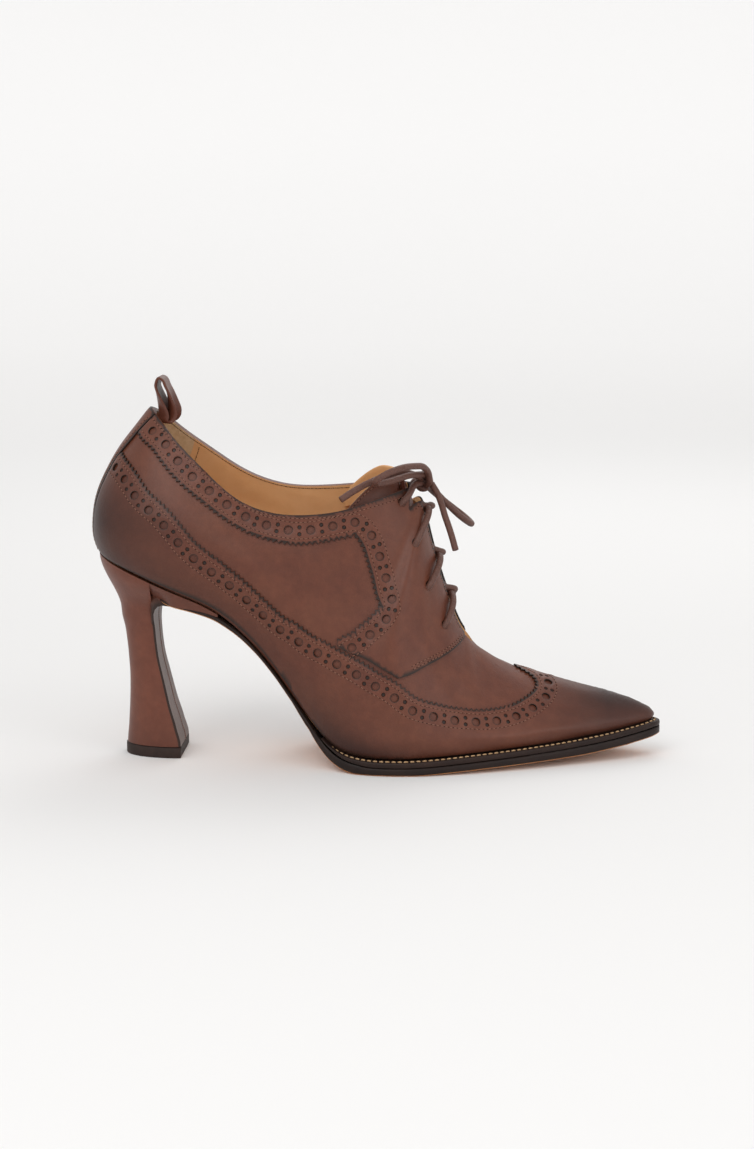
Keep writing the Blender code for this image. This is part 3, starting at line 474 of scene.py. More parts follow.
def evenly(line, spacing):
    sofar = sums(stepsOf(spotsOf(line)))
    wanted = np.linspace(0, sofar[-1], max(2, round(sofar[-1] / spacing) + 1))
    return np.column_stack([np.interp(wanted, sofar, line[:, 0]), np.interp(wanted, sofar, line[:, 1])])


# One small step of a line along the surface, by a vector in mm at each of its points.
def nudged(line, vectors):
    p, v = line[:, 0], line[:, 1]
    step = 0.01
    low, high = np.clip(v - step, 0, 1), np.clip(v + step, 0, 1)
    along = (surface(p + step, v) - surface(p - step, v)) / (2 * step)
    up = (surface(p, high) - surface(p, low)) / (high - low)[:, None]
    a, b, c = (along * along).sum(1), (along * up).sum(1), (up * up).sum(1)
    f, g = (vectors * along).sum(1), (vectors * up).sum(1)
    det = np.maximum(a * c - b * b, 1e-3)
    return np.column_stack([p + (f * c - g * b) / det, np.clip(v + (g * a - f * b) / det, 0, 1)])


def shifted(line, vectors):
    steps = max(1, math.ceil(float(np.linalg.norm(vectors, axis=1).max()) / 0.5))
    for _ in range(steps):
        line = nudged(line, vectors / steps)
    return line


def sideways(line):
    return np.cross(normalsOf(line), unit(np.gradient(spotsOf(line), axis=0)))


def beside(line, distance):
    return shifted(line, sideways(line) * np.asarray(distance, float).reshape(-1, 1))


# A line at one distance all along, without the folds that a sharp bend would give it.
def parallel(line, distance):
    moved = beside(line, distance * np.ones(len(line)))
    source = spotsOf(line)
    nearest = np.array([np.linalg.norm(source - spot, axis=1).min() for spot in spotsOf(moved)])
    return moved[nearest > 0.93 * abs(distance)]


# A zigzag edge, cut into the leather on the side that the sign says.
gimp = {"pitch": 2.3, "depth": 1.4}


def gimped(line, sign):
    even = evenly(line, gimp["pitch"] / 2)
    tooth = np.where(np.arange(len(even)) % 2 == 1, gimp["depth"] * sign, 0.0)
    tooth[[0, -1]] = 0
    return beside(even, tooth)


# Round outlines on the surface, one about each centre.
def rounds(centres, radius, count):
    holes = []
    normals = normalsOf(centres)
    across = unit(np.cross(normals, (0.0, 0.0, 1.0)))
    up = np.cross(normals, across)
    for k in range(count):
        angle = 2 * math.pi * k / count
        holes.append(shifted(centres, radius * (across * math.cos(angle) + up * math.sin(angle))))
    return [np.array([ring[i] for ring in holes]) for i in range(len(centres))]


# Brogue band beside a gimped edge: large holes with a pair of small dimples between them.
brogueBand = {"middle": 5.0, "pitch": 9.5, "bigRadius": 1.8, "bigSides": 12, "smallRadius": 0.72, "smallSides": 7,
              "pairHalf": 1.45}


def brogue(edge, sign, band):
    line = evenly(parallel(edge, sign * band["middle"]), band["pitch"] / 2)[1:-1]
    big, between = line[0::2], line[1::2]
    pairs = np.concatenate([
        beside(between, d * np.ones(len(between))) for d in (band["pairHalf"], -band["pairHalf"])])
    return [(big, band["bigRadius"], band["bigSides"], False), (pairs, band["smallRadius"], band["smallSides"], True)]


# Panels are cut in a flat map: x is the length along the shoe, y the height, both in mm.
flatPlaces = np.linspace(-3, 41, 881)
flatLengths = sums(stepsOf(surface(flatPlaces, 0.6)))
flatHeights = np.array([stepsOf(surface(q, np.linspace(0, 1, 31))).sum() for q in flatPlaces])


def toFlat(line):
    line = np.asarray(line)
    return np.column_stack([np.interp(line[:, 0], flatPlaces, flatLengths),
                            line[:, 1] * np.interp(line[:, 0], flatPlaces, flatHeights)])


def fromFlat(line):
    places = np.interp(line[:, 0], flatLengths, flatPlaces)
    return np.column_stack([places, line[:, 1] / np.interp(places, flatPlaces, flatHeights)])


def insideOf(points, polygon):
    x, y = points[:, 0], points[:, 1]
    hit = np.zeros(len(points), bool)
    for (x0, y0), (x1, y1) in zip(polygon, np.roll(polygon, -1, axis=0)):
        if y0 != y1:
            hit ^= ((y0 > y) != (y1 > y)) & (x < x0 + (y - y0) * (x1 - x0) / (y1 - y0))
    return hit


# An overlay cut along its edge, with its holes right through and its dimples sunk and painted dark as the shade inside
# them; it is laid on the lateral side ("lateral"), on the medial side ("medial") or on both.
panelCut = {"grid": 1.7, "clear": 0.55, "halo": 0.4, "dimpleHalo": 0.28, "dimple": 0.5, "rimDrop": 0.14}


def panel(name, edge, punches, sides, nodes, toothLine=()):
    spacing = panelCut["grid"]
    line = toFlat(edge)
    rings, dimple, halo = [], [], []
    for centres, radius, count, shallow in punches:
        rings += [toFlat(ring) for ring in rounds(centres, radius, count)]
        dimple += [shallow] * len(centres)
        wider = radius + panelCut["dimpleHalo" if shallow else "halo"]
        halo += [toFlat(ring) for ring in rounds(centres, wider, count)]
    teeth = [toFlat(tooth) for tooth in toothLine]
    low, high = line.min(axis=0), line.max(axis=0)
    grid = np.array(np.meshgrid(np.arange(low[0], high[0], spacing), np.arange(low[1], high[1], spacing)))
    grid = grid.reshape(2, -1).T
    grid = grid[insideOf(grid, line)]
    lines = np.concatenate([line] + rings + halo)
    teeth = np.concatenate(teeth) if teeth else np.empty((0, 2))
    if len(teeth):
        teeth = teeth[insideOf(teeth, line)]
    crowd = np.concatenate([lines, teeth])
    keep = np.ones(len(grid), bool)
    for start in range(0, len(grid), 2000):
        part = grid[start:start + 2000]
        distance = ((part[:, None, :] - crowd[None, :, :]) ** 2).sum(axis=2).min(axis=1)
        keep[start:start + 2000] = distance > (panelCut["clear"] * spacing) ** 2
    grid = np.concatenate([grid[keep], teeth])
    for ring in halo:
        grid = grid[~insideOf(grid, ring)]
    polygons, ends, first = [], [], 0
    for ring in [line] + rings + halo:
        x, y = ring[:, 0], ring[:, 1]
        turns = np.sum(x * np.roll(y, -1) - np.roll(x, -1) * y)
        order = list(range(first, first + len(ring)))
        polygons.append(order if turns > 0 else order[::-1])
        first += len(ring)
        ends.append(first)
    points, _, faces, source, _, origin = delaunay_2d_cdt(
        [Vector(q) for q in np.concatenate([lines, grid])], [], polygons, 1, 1e-5)
    flat = fromFlat(np.array([(q.x, q.y) for q in points]))
    closed = {i + 1 for i, shallow in enumerate(dimple) if not shallow}
    faces = [list(face) for face, of in zip(faces, origin) if 0 in of and not closed & set(of)]
    ringOf = [int(np.searchsorted(ends, min(of), side="right")) if of and min(of) < ends[-1] else -1
              for of in source]
    sunk = np.array([panelCut["dimple"] if 0 < ring <= len(dimple) and dimple[ring - 1] else 0.0 for ring in ringOf])
    used = sorted({i for face in faces for i in face})
    renumber = {old: new for new, old in enumerate(used)}
    faces = [[renumber[i] for i in face] for face in faces]
    flat, sunk = flat[used], sunk[used]
    spots, allFaces, sinks = [], [], []
    if "lateral" in sides:
        spots, allFaces, sinks = list(flat), list(faces), list(sunk)
    if "medial" in sides:
        first = len(spots)
        spots += list(otherSide(flat))
        allFaces += [[first + i for i in reversed(face)] for face in faces]
        sinks += list(sunk)
    return sheet(name, spots, allFaces, 0.0, overlayThick, panelCut["rimDrop"], [calf], lambda q, h: 0, nodes, sinks)


# ---- materials ----
def setUp(tree, node, settings=None, links=None):
    for key, value in (settings or {}).items():
        if isinstance(key, str) and hasattr(node, key):
            setattr(node, key, value)
        else:
            node.inputs[key].default_value = value
    for key, source in (links or {}).items():
        tree.links.new(source, node.inputs[key])
    return node


def addNode(tree, kind, settings=None, links=None):
    return setUp(tree, tree.nodes.new(kind), settings, links)


def newMaterial(name):
    material = bpy.data.materials.new(name)
    material.use_nodes = True
    tree = material.node_tree
    return material, tree, tree.nodes["Principled BSDF"]


def mixColour(tree, factor, a, b, mode="MIX"):
    node = addNode(tree, "ShaderNodeMix", {"data_type": "RGBA", "blend_type": mode})
    for index, value in ((0, factor), (6, a), (7, b)):
        if isinstance(value, bpy.types.NodeSocket):
            tree.links.new(value, node.inputs[index])
        else:
            node.inputs[index].default_value = value
    return node.outputs[2]


def ramp(tree, source, low, high):
    return addNode(tree, "ShaderNodeMapRange", {"From Min": low, "From Max": high}, {"Value": source}).outputs[0]


def ranged(tree, source, low, high):
    return addNode(tree, "ShaderNodeMapRange", {"To Min": low, "To Max": high}, {"Value": source}).outputs[0]


def objectPlace(tree):
    return addNode(tree, "ShaderNodeTexCoord").outputs["Object"]


def noise(tree, where, scale, detail, rough=0.5):
    look = {"Scale": scale, "Detail": detail, "Roughness": rough}
    return addNode(tree, "ShaderNodeTexNoise", look, {"Vector": where}).outputs[0]


def bumped(tree, strength, distance, height, normal=None, invert=False):
    links = {"Height": height} if normal is None else {"Height": height, "Normal": normal}
    look = {"Strength": strength, "Distance": distance, "invert": invert}
    return addNode(tree, "ShaderNodeBump", look, links).outputs[0]


def attribute(tree, name):
    return addNode(tree, "ShaderNodeAttribute", {"attribute_name": name}).outputs["Fac"]


# Smooth calf: mottled dye, fine pores, darker polish where the attribute says, dark cut edges, and painted shade in the
# sunk dimples from the same edge attribute.
def leatherMaterial(name, look):
    material, tree, shader = newMaterial(name)
    where = objectPlace(tree)
    clouds, streak = noise(tree, where, 55.0, 6.0, 0.6), noise(tree, where, 210.0, 4.0, 0.65)
    grain = noise(tree, where, 900.0, 5.0, 0.7)
    pores = addNode(tree, "ShaderNodeTexVoronoi", {"Scale": 1500.0, "feature": "SMOOTH_F1"}, {"Vector": where})
    colour = mixColour(tree, ramp(tree, clouds, 0.32, 0.70), linear(look["base"]), linear(look["light"]))
    fine = mixColour(tree, ramp(tree, streak, 0.42, 0.66), (0.86, 0.84, 0.83, 1), (1.06, 1.04, 1.03, 1))
    colour = mixColour(tree, 0.75, colour, fine, "MULTIPLY")
    wander = addNode(tree, "ShaderNodeMath", {"operation": "MULTIPLY_ADD", 1: 0.5, 2: -0.25}, {0: clouds})
    polish = addNode(tree, "ShaderNodeMath", {"operation": "ADD", "use_clamp": True},
                     {0: attribute(tree, "burnish"), 1: wander.outputs[0]})
    colour = mixColour(tree, polish.outputs[0], colour, linear(look["dark"]))
    # The edge attribute darkens the cut edges and also paints shade into the sunk dimples.
    colour = mixColour(tree, ramp(tree, attribute(tree, "edge"), 0.1, 0.75), colour, linear(look["edge"]))
    bump = bumped(tree, 0.35, 0.00012, pores.outputs["Distance"])
    bump = bumped(tree, 0.30, 0.00018, grain, bump)
    bump = bumped(tree, 0.22, 0.0005, streak, bump)
    setUp(tree, shader, {"Coat Weight": look["coat"], "Coat Roughness": 0.28, "Specular IOR Level": 0.32},
          {"Base Color": colour, "Normal": bump, "Roughness": ranged(tree, grain, look["gloss"], look["gloss"] + 0.2)})
    return material


def plainMaterial(name, base, light, scale, roughness, bumpScale, bumpDistance, sheen=0.0):
    material, tree, shader = newMaterial(name)
    where = objectPlace(tree)
    clouds, grain = noise(tree, where, scale, 5.0, 0.6), noise(tree, where, bumpScale, 6.0, 0.7)
    colour = mixColour(tree, ramp(tree, clouds, 0.32, 0.7), linear(base), linear(light))
    setUp(tree, shader, {"Specular IOR Level": 0.25, "Sheen Weight": sheen}, {
        "Base Color": colour, "Normal": bumped(tree, 0.5, bumpDistance, grain),
        "Roughness": ranged(tree, grain, roughness - 0.06, roughness + 0.1)})
    return material


# The edge colour darkens the cut edges and is also the painted shade inside the brogue dimples.
calfLook = {"base": "#5f3223", "light": "#6f3f2c", "dark": "#2c1611", "edge": "#2b1a12", "gloss": 0.36, "coat": 0.1}
calf = leatherMaterial("burnished_calf", calfLook)
heelCalf = leatherMaterial("heel_cover_calf", {**calfLook, "base": "#643526", "light": "#744230"})
breastCalf = leatherMaterial("breast_calf", {**calfLook, "base": "#543a31", "light": "#63473c"})
lining = plainMaterial("tan_lining_leather", "#d6a06c", "#e0ae7c", 60, 0.52, 1300, 0.00008)
suede = plainMaterial("tan_suede_grip", "#c4a47c", "#d8ba92", 420, 0.9, 2600, 0.0004, sheen=0.4)
sock = plainMaterial("tan_sock_leather", "#cf9a68", "#d9a878", 40, 0.5, 1200, 0.00006)
soleEdge = plainMaterial("dyed_sole_edge", "#1d1310", "#2a1c17", 90, 0.46, 1500, 0.0001)
solePaint = plainMaterial("sole_tan_leather", "#b87a4a", "#cb8f5d", 50, 0.46, 900, 0.00008)
weltDye = plainMaterial("dyed_welt", "#241713", "#31211b", 120, 0.5, 1600, 0.00012)
rubber = plainMaterial("top_piece_rubber", "#2c211d", "#382a25", 200, 0.62, 2500, 0.0001)
# Dark beads painted as the shade inside the needle holes between stitches.
needleHoleShade = plainMaterial("needle_hole_painted_shade", "#1c110d", "#24160f", 900, 0.9, 5000, 0.00002)
thread = plainMaterial("brown_thread", "#7a5343", "#8a6352", 900, 0.6, 5000, 0.00005)
liningThread = plainMaterial("tan_thread", "#5e3c25", "#6e4a30", 900, 0.6, 5000, 0.00005)
weltThread = plainMaterial("cream_thread", "#b08a62", "#c7a67f", 900, 0.62, 5000, 0.00006)


# Round waxed cord: a fine woven grain whose sunk grooves are painted darker as shade, with soft patches of a second
# brown.
def cordMaterial():
    material, tree, shader = newMaterial("waxed_cotton_cord")
    where = objectPlace(tree)
    weave = addNode(tree, "ShaderNodeTexVoronoi", {"Scale": 1350.0}, {"Vector": where}).outputs["Distance"]
    # The weave's grooves, which the bump sinks, get the darker brown: painted shade in the grooves.
    colour = mixColour(tree, ramp(tree, weave, 0.1, 0.7), linear("#6d4638"), linear("#4f3027"))
    colour = mixColour(tree, ramp(tree, noise(tree, where, 420.0, 4.0), 0.3, 0.7), colour, linear("#5f3c30"))
    bump = bumped(tree, 0.6, 0.0003, weave, invert=True)
    setUp(tree, shader, {"Roughness": 0.55}, {"Base Color": colour, "Normal": bump})
    return material


laceCord = cordMaterial()
print("materials ready")


# ---- upper ----
upperParts = {"stretchFrom": 0.6, "suedeEnd": 2.4, "suedeLow": 0.12, "underOverlay": 0.12}


def buildUpper():
    fixed = upperParts["stretchFrom"]
    rows = np.concatenate([np.linspace(0, sideHeight, 9), np.linspace(sideHeight, 1.0, 36)[1:]])
    stations = sorted(set(np.round(np.concatenate([
        np.arange(0, lastStation + 0.01, 0.125), np.linspace(corner, throat["end"], 31),
        corner + 0.5 * np.linspace(0, 1, 12) ** 2, np.linspace(11.4, throat["end"], 13)]), 4)))
    spots, faces = [], []
    for side in (1, -1):
        first = len(spots)
        for p in stations:
            top = ribTop(p)
            heights = np.where(rows <= fixed, rows, fixed + (rows - fixed) * (top - fixed) / (1 - fixed))
            spots += [(p if side > 0 else loopStations - p, v) for v in heights]
        count = len(rows)
        for i in range(len(stations) - 1):
            for j in range(count - 1):
                a = first + i * count + j
                ring = [a, a + count, a + count + 1, a + 1]
                faces.append(ring if side > 0 else ring[::-1])

    def kindOf(p, v):
        return 2 if folded(p) < upperParts["suedeEnd"] and v > upperParts["suedeLow"] else 1

    def wallKind(p, v):
        return 1 if folded(p) > corner and v > 0.5 else 0

    sheet("upperShell", spots, faces, overlayThick + upperParts["underOverlay"], shellDepth + wall, 0.0,
          [calf, lining, suede], kindOf, ["upper"], None, wallKind, 0.0)


foxingPoints = [
    (0.54, 0.685), (1.4, 0.64), (2.05, 0.56), (2.65, 0.5), (3.2, 0.4), (3.75, 0.28), (4.45, 0.2), (5.1, 0.183),
    (5.75, 0.175), (6.35, 0.183), (7.0, 0.233), (7.6, 0.317), (8.6, 0.40), (9.35, 0.417), (10.1, 0.433),
    (10.85, 0.433), (11.65, 0.458), (12.35, 0.475), (13.0, 0.49), (13.6, 0.54), (14.0, 0.63), (14.2, 0.72),
    (14.22, 0.80), (14.05, 0.90), (13.75, 0.96), (13.55, 1.0),
]
foxingEdge = throughPoints(foxingPoints)
bandUpper = throughPoints([
    (0.65, 0.86), (0.82, 0.85), (1.55, 0.842), (2.15, 0.80), (2.75, 0.758), (3.3, 0.742), (3.85, 0.725), (4.4, 0.70),
    (4.9, 0.70), (5.4, 0.717), (5.85, 0.767), (6.25, 0.808), (6.7, 0.833)])
bandFront = throughPoints([(6.7, 0.833), (7.05, 0.775), (7.45, 0.708), (7.85, 0.658), (8.2, 0.617), (8.55, 0.592)])
bandLow = throughPoints([(8.55, 0.592), (8.45, 0.558), (8.2, 0.50), (8.05, 0.45), (7.85, 0.40), (7.75, 0.355)])
eyelets = [(8.1, 0.95), (9.25, 0.80), (10.2, 0.775), (11.05, 0.765)]
eyeletHole = {"radius": 1.75, "sides": 14}
facingEnd = 11.85
toothInset = 0.5


def buildFoxing():
    ridge = [(p, 1.0) for p in np.arange(13.7, 17.01, 0.12)]
    toe = [(lastStation, v) for v in np.linspace(1.0, footHeight, 30)]
    foot = [(p, footHeight) for p in np.arange(lastStation - 0.1, 0.6, -0.12)]
    back = [(0.52, footHeight), (0.49, 0.1), (0.47, 0.2), (0.475, 0.3), (0.49, 0.45), (0.52, 0.58)]
    edge = [gimped(foxingEdge, -foxingSide)] + [otherSide(part) for part in (ridge, toe, foot, back)]
    edge = np.concatenate(edge)
    holes = brogue(foxingEdge, foxingSide, brogueBand)
    panel("foxingPanel", edge, holes, ("lateral", "medial"), ["foxing"],
          [parallel(foxingEdge, foxingSide * toothInset)])


def buildFacings():
    collar = [(p, collarHeight) for p in np.linspace(0.79, corner, 70)]
    front = [(p, ribTop(p) - 0.003) for p in corner + (facingEnd - corner) * np.linspace(0, 1, 90)[1:-1] ** 2]
    lower = throughPoints([
        (facingEnd, 0.885), (11.7, 0.79), (11.3, 0.658), (10.75, 0.55), (10.45, 0.50), (10.05, 0.453)])
    foot = throughPoints([(10.05, 0.453), (9.35, 0.437), (8.6, 0.42), (7.75, 0.355)])
    rim = np.concatenate([bandUpper, bandFront[1:], bandLow[1:]])
    teeth = np.concatenate([gimped(part, -bandSide)[:-1] for part in (bandUpper, bandFront, bandLow)])
    edge = np.concatenate([otherSide(collar), otherSide(front), lower[:-1], foot[:-1], teeth[::-1]])
    holes = brogue(rim, bandSide, brogueBand)
    holes.append((otherSide(eyelets), eyeletHole["radius"], eyeletHole["sides"], False))
    inner = [parallel(part, bandSide * toothInset)[1:-1] for part in (bandUpper, bandFront, bandLow)]
    for side in ("lateral", "medial"):
        panel(f"facing{side.capitalize()}Panel", edge, holes, (side,), ["facing_" + side], inner)


def buildBackstay():
    half = throughPoints([
        (0.47, footHeight), (0.42, 0.2), (0.44, 0.45), (0.5, 0.7), (0.6, 0.86), (0.74, collarHeight)])
    half[:, 0] -= loopStations
    mirror = half[::-1] * (-1, 1)
    top = [(p, collarHeight) for p in np.linspace(half[-1, 0], -half[-1, 0], 14)[1:-1]]
    low = [(p, footHeight) for p in np.linspace(-half[0, 0], half[0, 0], 10)[1:-1]]
    edge = np.concatenate([half, top, mirror, low])
    panel("backstayStrip", edge, [], ("lateral",), ["backstay"])


# The sign of the sideways step that raises the height (wanted 1) or lowers it (wanted -1).
def sideSign(line, wanted):
    middle = line[len(line) // 3:len(line) // 3 + 3]
    moved = beside(middle, np.ones(len(middle)))
    return 1 if (moved[1, 1] - middle[1, 1]) * wanted > 0 else -1


foxingSide = sideSign(foxingEdge, -1)
bandSide = sideSign(bandUpper, 1)
buildUpper()
buildFoxing()
buildFacings()
buildBackstay()
print("upper ready")


# ---- stitches ----
def stitchTree(name, material, length, radius):
    tree = bpy.data.node_groups.new(name, "GeometryNodeTree")
    tree.interface.new_socket("Geometry", in_out="INPUT", socket_type="NodeSocketGeometry")
    pitch = tree.interface.new_socket("Half Pitch", in_out="INPUT", socket_type="NodeSocketFloat")
    tree.interface.new_socket("Geometry", in_out="OUTPUT", socket_type="NodeSocketGeometry")
    source = addNode(tree, "NodeGroupInput")
    even = addNode(tree, "GeometryNodeResampleCurve", {"mode": "LENGTH"},
                   {"Curve": source.outputs["Geometry"], "Length": source.outputs["Half Pitch"]})
    bead = addNode(tree, "GeometryNodeMeshUVSphere", {"Segments": 6, "Rings": 5, "Radius": radius * mm})
    bead = addNode(tree, "GeometryNodeTransform", {"Scale": (1.0, 1.0, length / (2 * radius))},
                   {"Geometry": bead.outputs["Mesh"]})
    tangent = addNode(tree, "GeometryNodeInputTangent")
    turn = addNode(tree, "FunctionNodeAlignRotationToVector", {"axis": "Z"}, {"Vector": tangent.outputs[0]})
    index = addNode(tree, "GeometryNodeInputIndex")
    isHole = addNode(tree, "FunctionNodeIntegerMath", {"operation": "MODULO", 1: 2}, {0: index.outputs[0]})
    isStitch = addNode(tree, "FunctionNodeBooleanMath", {"operation": "NOT"}, {0: isHole.outputs[0]})
    # Every second point gets a dark bead: painted shade of the needle hole between two stitches.
    hole = addNode(tree, "GeometryNodeMeshUVSphere", {"Segments": 6, "Rings": 4, "Radius": radius * 1.05 * mm})
    join = addNode(tree, "GeometryNodeJoinGeometry")
    for shape, choose, dress in ((bead.outputs[0], isStitch, material), (hole.outputs["Mesh"], isHole, needleHoleShade)):
        placed = addNode(tree, "GeometryNodeInstanceOnPoints", None, {
            "Points": even.outputs[0], "Selection": choose.outputs[0], "Instance": shape, "Rotation": turn.outputs[0]})
        real = addNode(tree, "GeometryNodeRealizeInstances", None, {"Geometry": placed.outputs[0]})
        smooth = addNode(tree, "GeometryNodeSetShadeSmooth", None, {"Geometry": real.outputs[0]})
        dressed = addNode(tree, "GeometryNodeSetMaterial", {"Material": dress}, {"Geometry": smooth.outputs[0]})
        tree.links.new(dressed.outputs[0], join.inputs[0])
    out = addNode(tree, "NodeGroupOutput")
    tree.links.new(join.outputs[0], out.inputs[0])
    return tree, pitch.identifier


def stitches(name, lines, look, material):
    guide = newObject(name + "Line", polyCurve(name + "Line", lines))
    tree, key = stitchTree(name, material, look["length"], look["radius"])
    modifier = guide.modifiers.new("stitches", "NODES")
    modifier.node_group = tree
    modifier[key] = look["pitch"] * mm / 2
    return register(newObject(name, baked(guide)))


# The points of a row of stitches, at one depth under the last's surface.
def onLeather(line, depth=-0.03):
    line = evenly(line, 0.9)
    return place(line[:, 0], line[:, 1], depth + 0 * line[:, 0])


upperStitch = {"pitch": 1.9, "length": 1.2, "radius": 0.2}
liningStitch = {"pitch": 1.9, "length": 1.35, "radius": 0.19, "lift": 0.05}
seamRows = (1.5, 8.4)


def upperStitches():
    rim = np.concatenate([bandUpper[1:], bandFront[1:], bandLow[1:-1]])
    rows = [parallel(foxingEdge[2:], foxingSide * d) for d in seamRows]
    rows += [parallel(rim, bandSide * d) for d in seamRows]
    rows.append(otherSide([(p, 0.968) for p in np.linspace(0.8, corner - 0.35, 90)]))
    throatLine = otherSide([(p, ribTop(p) - 0.004) for p in np.linspace(corner + 0.15, 11.6, 60)])
    rows.append(parallel(throatLine, 1.9 * throatSide))
    foot = throughPoints([(11.72, 0.865), (11.58, 0.79), (11.2, 0.668), (10.66, 0.565), (10.38, 0.52)])
    rows += [foot, parallel(foot, 1.3)]
    rows.append(throughPoints([(0.34, 0.03), (0.31, 0.2), (0.33, 0.45), (0.39, 0.7), (0.48, 0.86), (0.58, 0.95)]))
    lines = [onLeather(row) for row in rows + [otherSide(row) for row in rows]]
    stitches("upperStitches", lines, upperStitch, thread)


throatSide = sideSign(otherSide([(p, ribTop(p) - 0.004) for p in np.linspace(9.0, 11.0, 30)]), -1)


# Stitches on the lining: along the collar and down the seam of the suede grip.
def liningStitches():
    rows = [[(p, 0.982) for p in np.linspace(0.9, corner - 0.3, 80)], [(2.55, v) for v in np.linspace(0.25, 0.95, 40)]]
    depth = shellDepth + wall + liningStitch["lift"]
    lines = [onLeather(np.array(row), depth) for row in rows + [otherSide(row) for row in rows]]
    stitches("liningStitches", lines, liningStitch, liningThread)


upperStitches()
liningStitches()
print("stitches ready")

# ---- sole ----
soleBottom = [
    (-104, 69.6), (-93, 67.1), (-84.4, 65.2), (-76, 62.6), (-67.1, 57.2), (-59, 49.8), (-50.4, 39.6), (-41.6, 27.4),
    (-34, 16.0), (-28.5, 8.6), (-23.5, 4.0), (-18, 1.2), (-12, 0), (10, 0), (24, 0.8), (42, 1.8), (61, 2.7), (81, 4.0),
    (100, 6.4), (110, 8.3), (120, 11.0),
]
layer = [
    (-130, 5.0), (-103, 4.9), (-93, 3.6), (-80, 1.9), (-70, 0.9), (-62, 0), (-34, 0), (-28, 0.9), (-20, 1.8), (-8, 2.5),
    (130, 2.5),
]
soleMargin = [
    (-104, -6.0), (-93, -3.6), (-80, -1.4), (-68, 0.0), (-34, 0.4), (-26, 1.8), (-16, 3.4), (-4, 4.0), (90, 3.9),
    (120, 3.2),
]
breastX = -102.0


# Under the heel's breast the visible sole draws in, so that the heel's cover can run over its edge.
def soleLine(x):
    return at(soleMargin, x) - 4.2 * np.clip((-92 - x) / 10, 0, 1) ** 2


def outsoleTop(x):
    return featherZ(x) - at(layer, x) - gap


def buildOutsole():
    stations = np.arange(stationAt(breastX + 1.2), lastStation + 0.001, 0.08)
    stations[-1] = lastStation
    rows = []
    for p in stations:
        x = float(readLine(last["feather"], p)[0])
        margin = soleLine(x)
        left, right = outline(loopStations - p, margin), outline(p, margin)
        top, bottom = float(outsoleTop(x)), float(smoothAt(soleBottom, x))
        thick = top - bottom
        across = right - left
        width = max(float(np.linalg.norm(across)), 1e-6)
        ring = []
        for q, sign in ((left, 1), (right, -1)):
            inwards = sign * across / width
            reach = min(1.0, width * 0.3)
            profile = [(0.5, top), (0.1, top - 0.12 * thick), (0.0, top - 0.35 * thick), (0.0, bottom + 0.45 * thick),
                       (0.04, bottom + 0.7), (0.2, bottom + 0.5), (reach, bottom)]
            if sign < 0:
                profile = profile[::-1]
            side = [(*(q + inwards * inset)[:2], z) for inset, z in profile]
            if sign < 0:
                middleY = np.linspace(0, 1, 9)[1:-1]
                start, end = np.array(ring[-1]), np.array(side[0])
                ring += [tuple(start + (end - start) * s) for s in middleY]
            ring += side
        start, end = np.array(ring[-1]), np.array(ring[0])
        ring += [tuple(start + (end - start) * s) for s in np.linspace(0, 1, 5)[1:-1]]
        rows.append(ring)
    loft("outsoleBody", rows, [soleEdge, solePaint], ["outsole"],
         lambda j: 0 if j < 5 or 14 < j else 1)


weltCut = {"from": -28.0, "inner": -4.4, "seam": 2.05, "groove": 0.15}
weltStitch = {"pitch": 2.6, "length": 2.1, "radius": 0.47}


def buildWelt():
    half = np.concatenate([np.arange(stationAt(weltCut["from"]), lastStation, 0.1), [lastStation]])
    loop = np.concatenate([half, loopStations - half[-2::-1]])
    margin = at(soleMargin, readLine(last["feather"], loop)[:, 0])
    rows = []
    for p, m in zip(loop, margin):
        a, b = outline(p, m), outline(p, weltCut["inner"])
        out = unit(a - b)
        low, high = float(outsoleTop(a[0])) + gap, float(featherZ(a[0])) - gap
        thick, sunk = high - low, high - weltCut["groove"]
        profile = [(0.25, low), (0, low + 0.25 * thick), (0, high - 0.3 * thick), (0.15, high - 0.1 * thick),
                   (0.5, high), (1.5, high), (1.8, sunk), (2.3, sunk), (2.6, high)]
        rows.append([(*(a - out * inset)[:2], z) for inset, z in profile] + [(*b[:2], high), (*b[:2], low)])
    loft("weltStrip", rows, [weltDye], ["welt"])
    line = []
    for p, m in zip(loop[4:-4], margin[4:-4]):
        spot = outline(p, m - weltCut["seam"])
        line.append((spot[0], spot[1], float(featherZ(spot[0])) - gap + 0.05))
    stitches("weltStitches", [line], weltStitch, weltThread)


sockCut = {"margin": -3.6, "thick": 1.55, "rise": 0.4}


def buildSock():
    stations = np.arange(0.0, lastStation + 0.001, 0.12)
    rows = []
    shares = np.linspace(-1, 1, 21)
    for p in stations:
        left, right = outline(loopStations - p, sockCut["margin"]), outline(p, sockCut["margin"])
        middle, half = (left + right) / 2, (right - left) / 2
        base = float(featherZ(middle[0]))
        rise = sockCut["rise"] * min(1, np.linalg.norm(half) / 8)
        top = [(*(middle + half * s)[:2], base + sockCut["thick"] + rise * abs(s) ** 3) for s in shares]
        low = [(*(middle + half * s)[:2], base) for s in shares[::-1]]
        rows.append(top + low)
    loft("sockLining", rows, [sock], ["insole"])


# ---- heel ----
heelTable = [
    (4.9, -115.6, -91.2, 14.6), (12, -115.0, -92.9, 13.9), (22, -114.4, -95.8, 12.9), (33, -114.1, -98.4, 11.8),
    (45, -114.7, -101.0, 11.0), (55, -115.8, -102.0, 11.3), (63, -117.3, -102.4, 13.0),
]
heelPoints = 65
heelY = -1.0
neckZ = heelTable[-1][0]


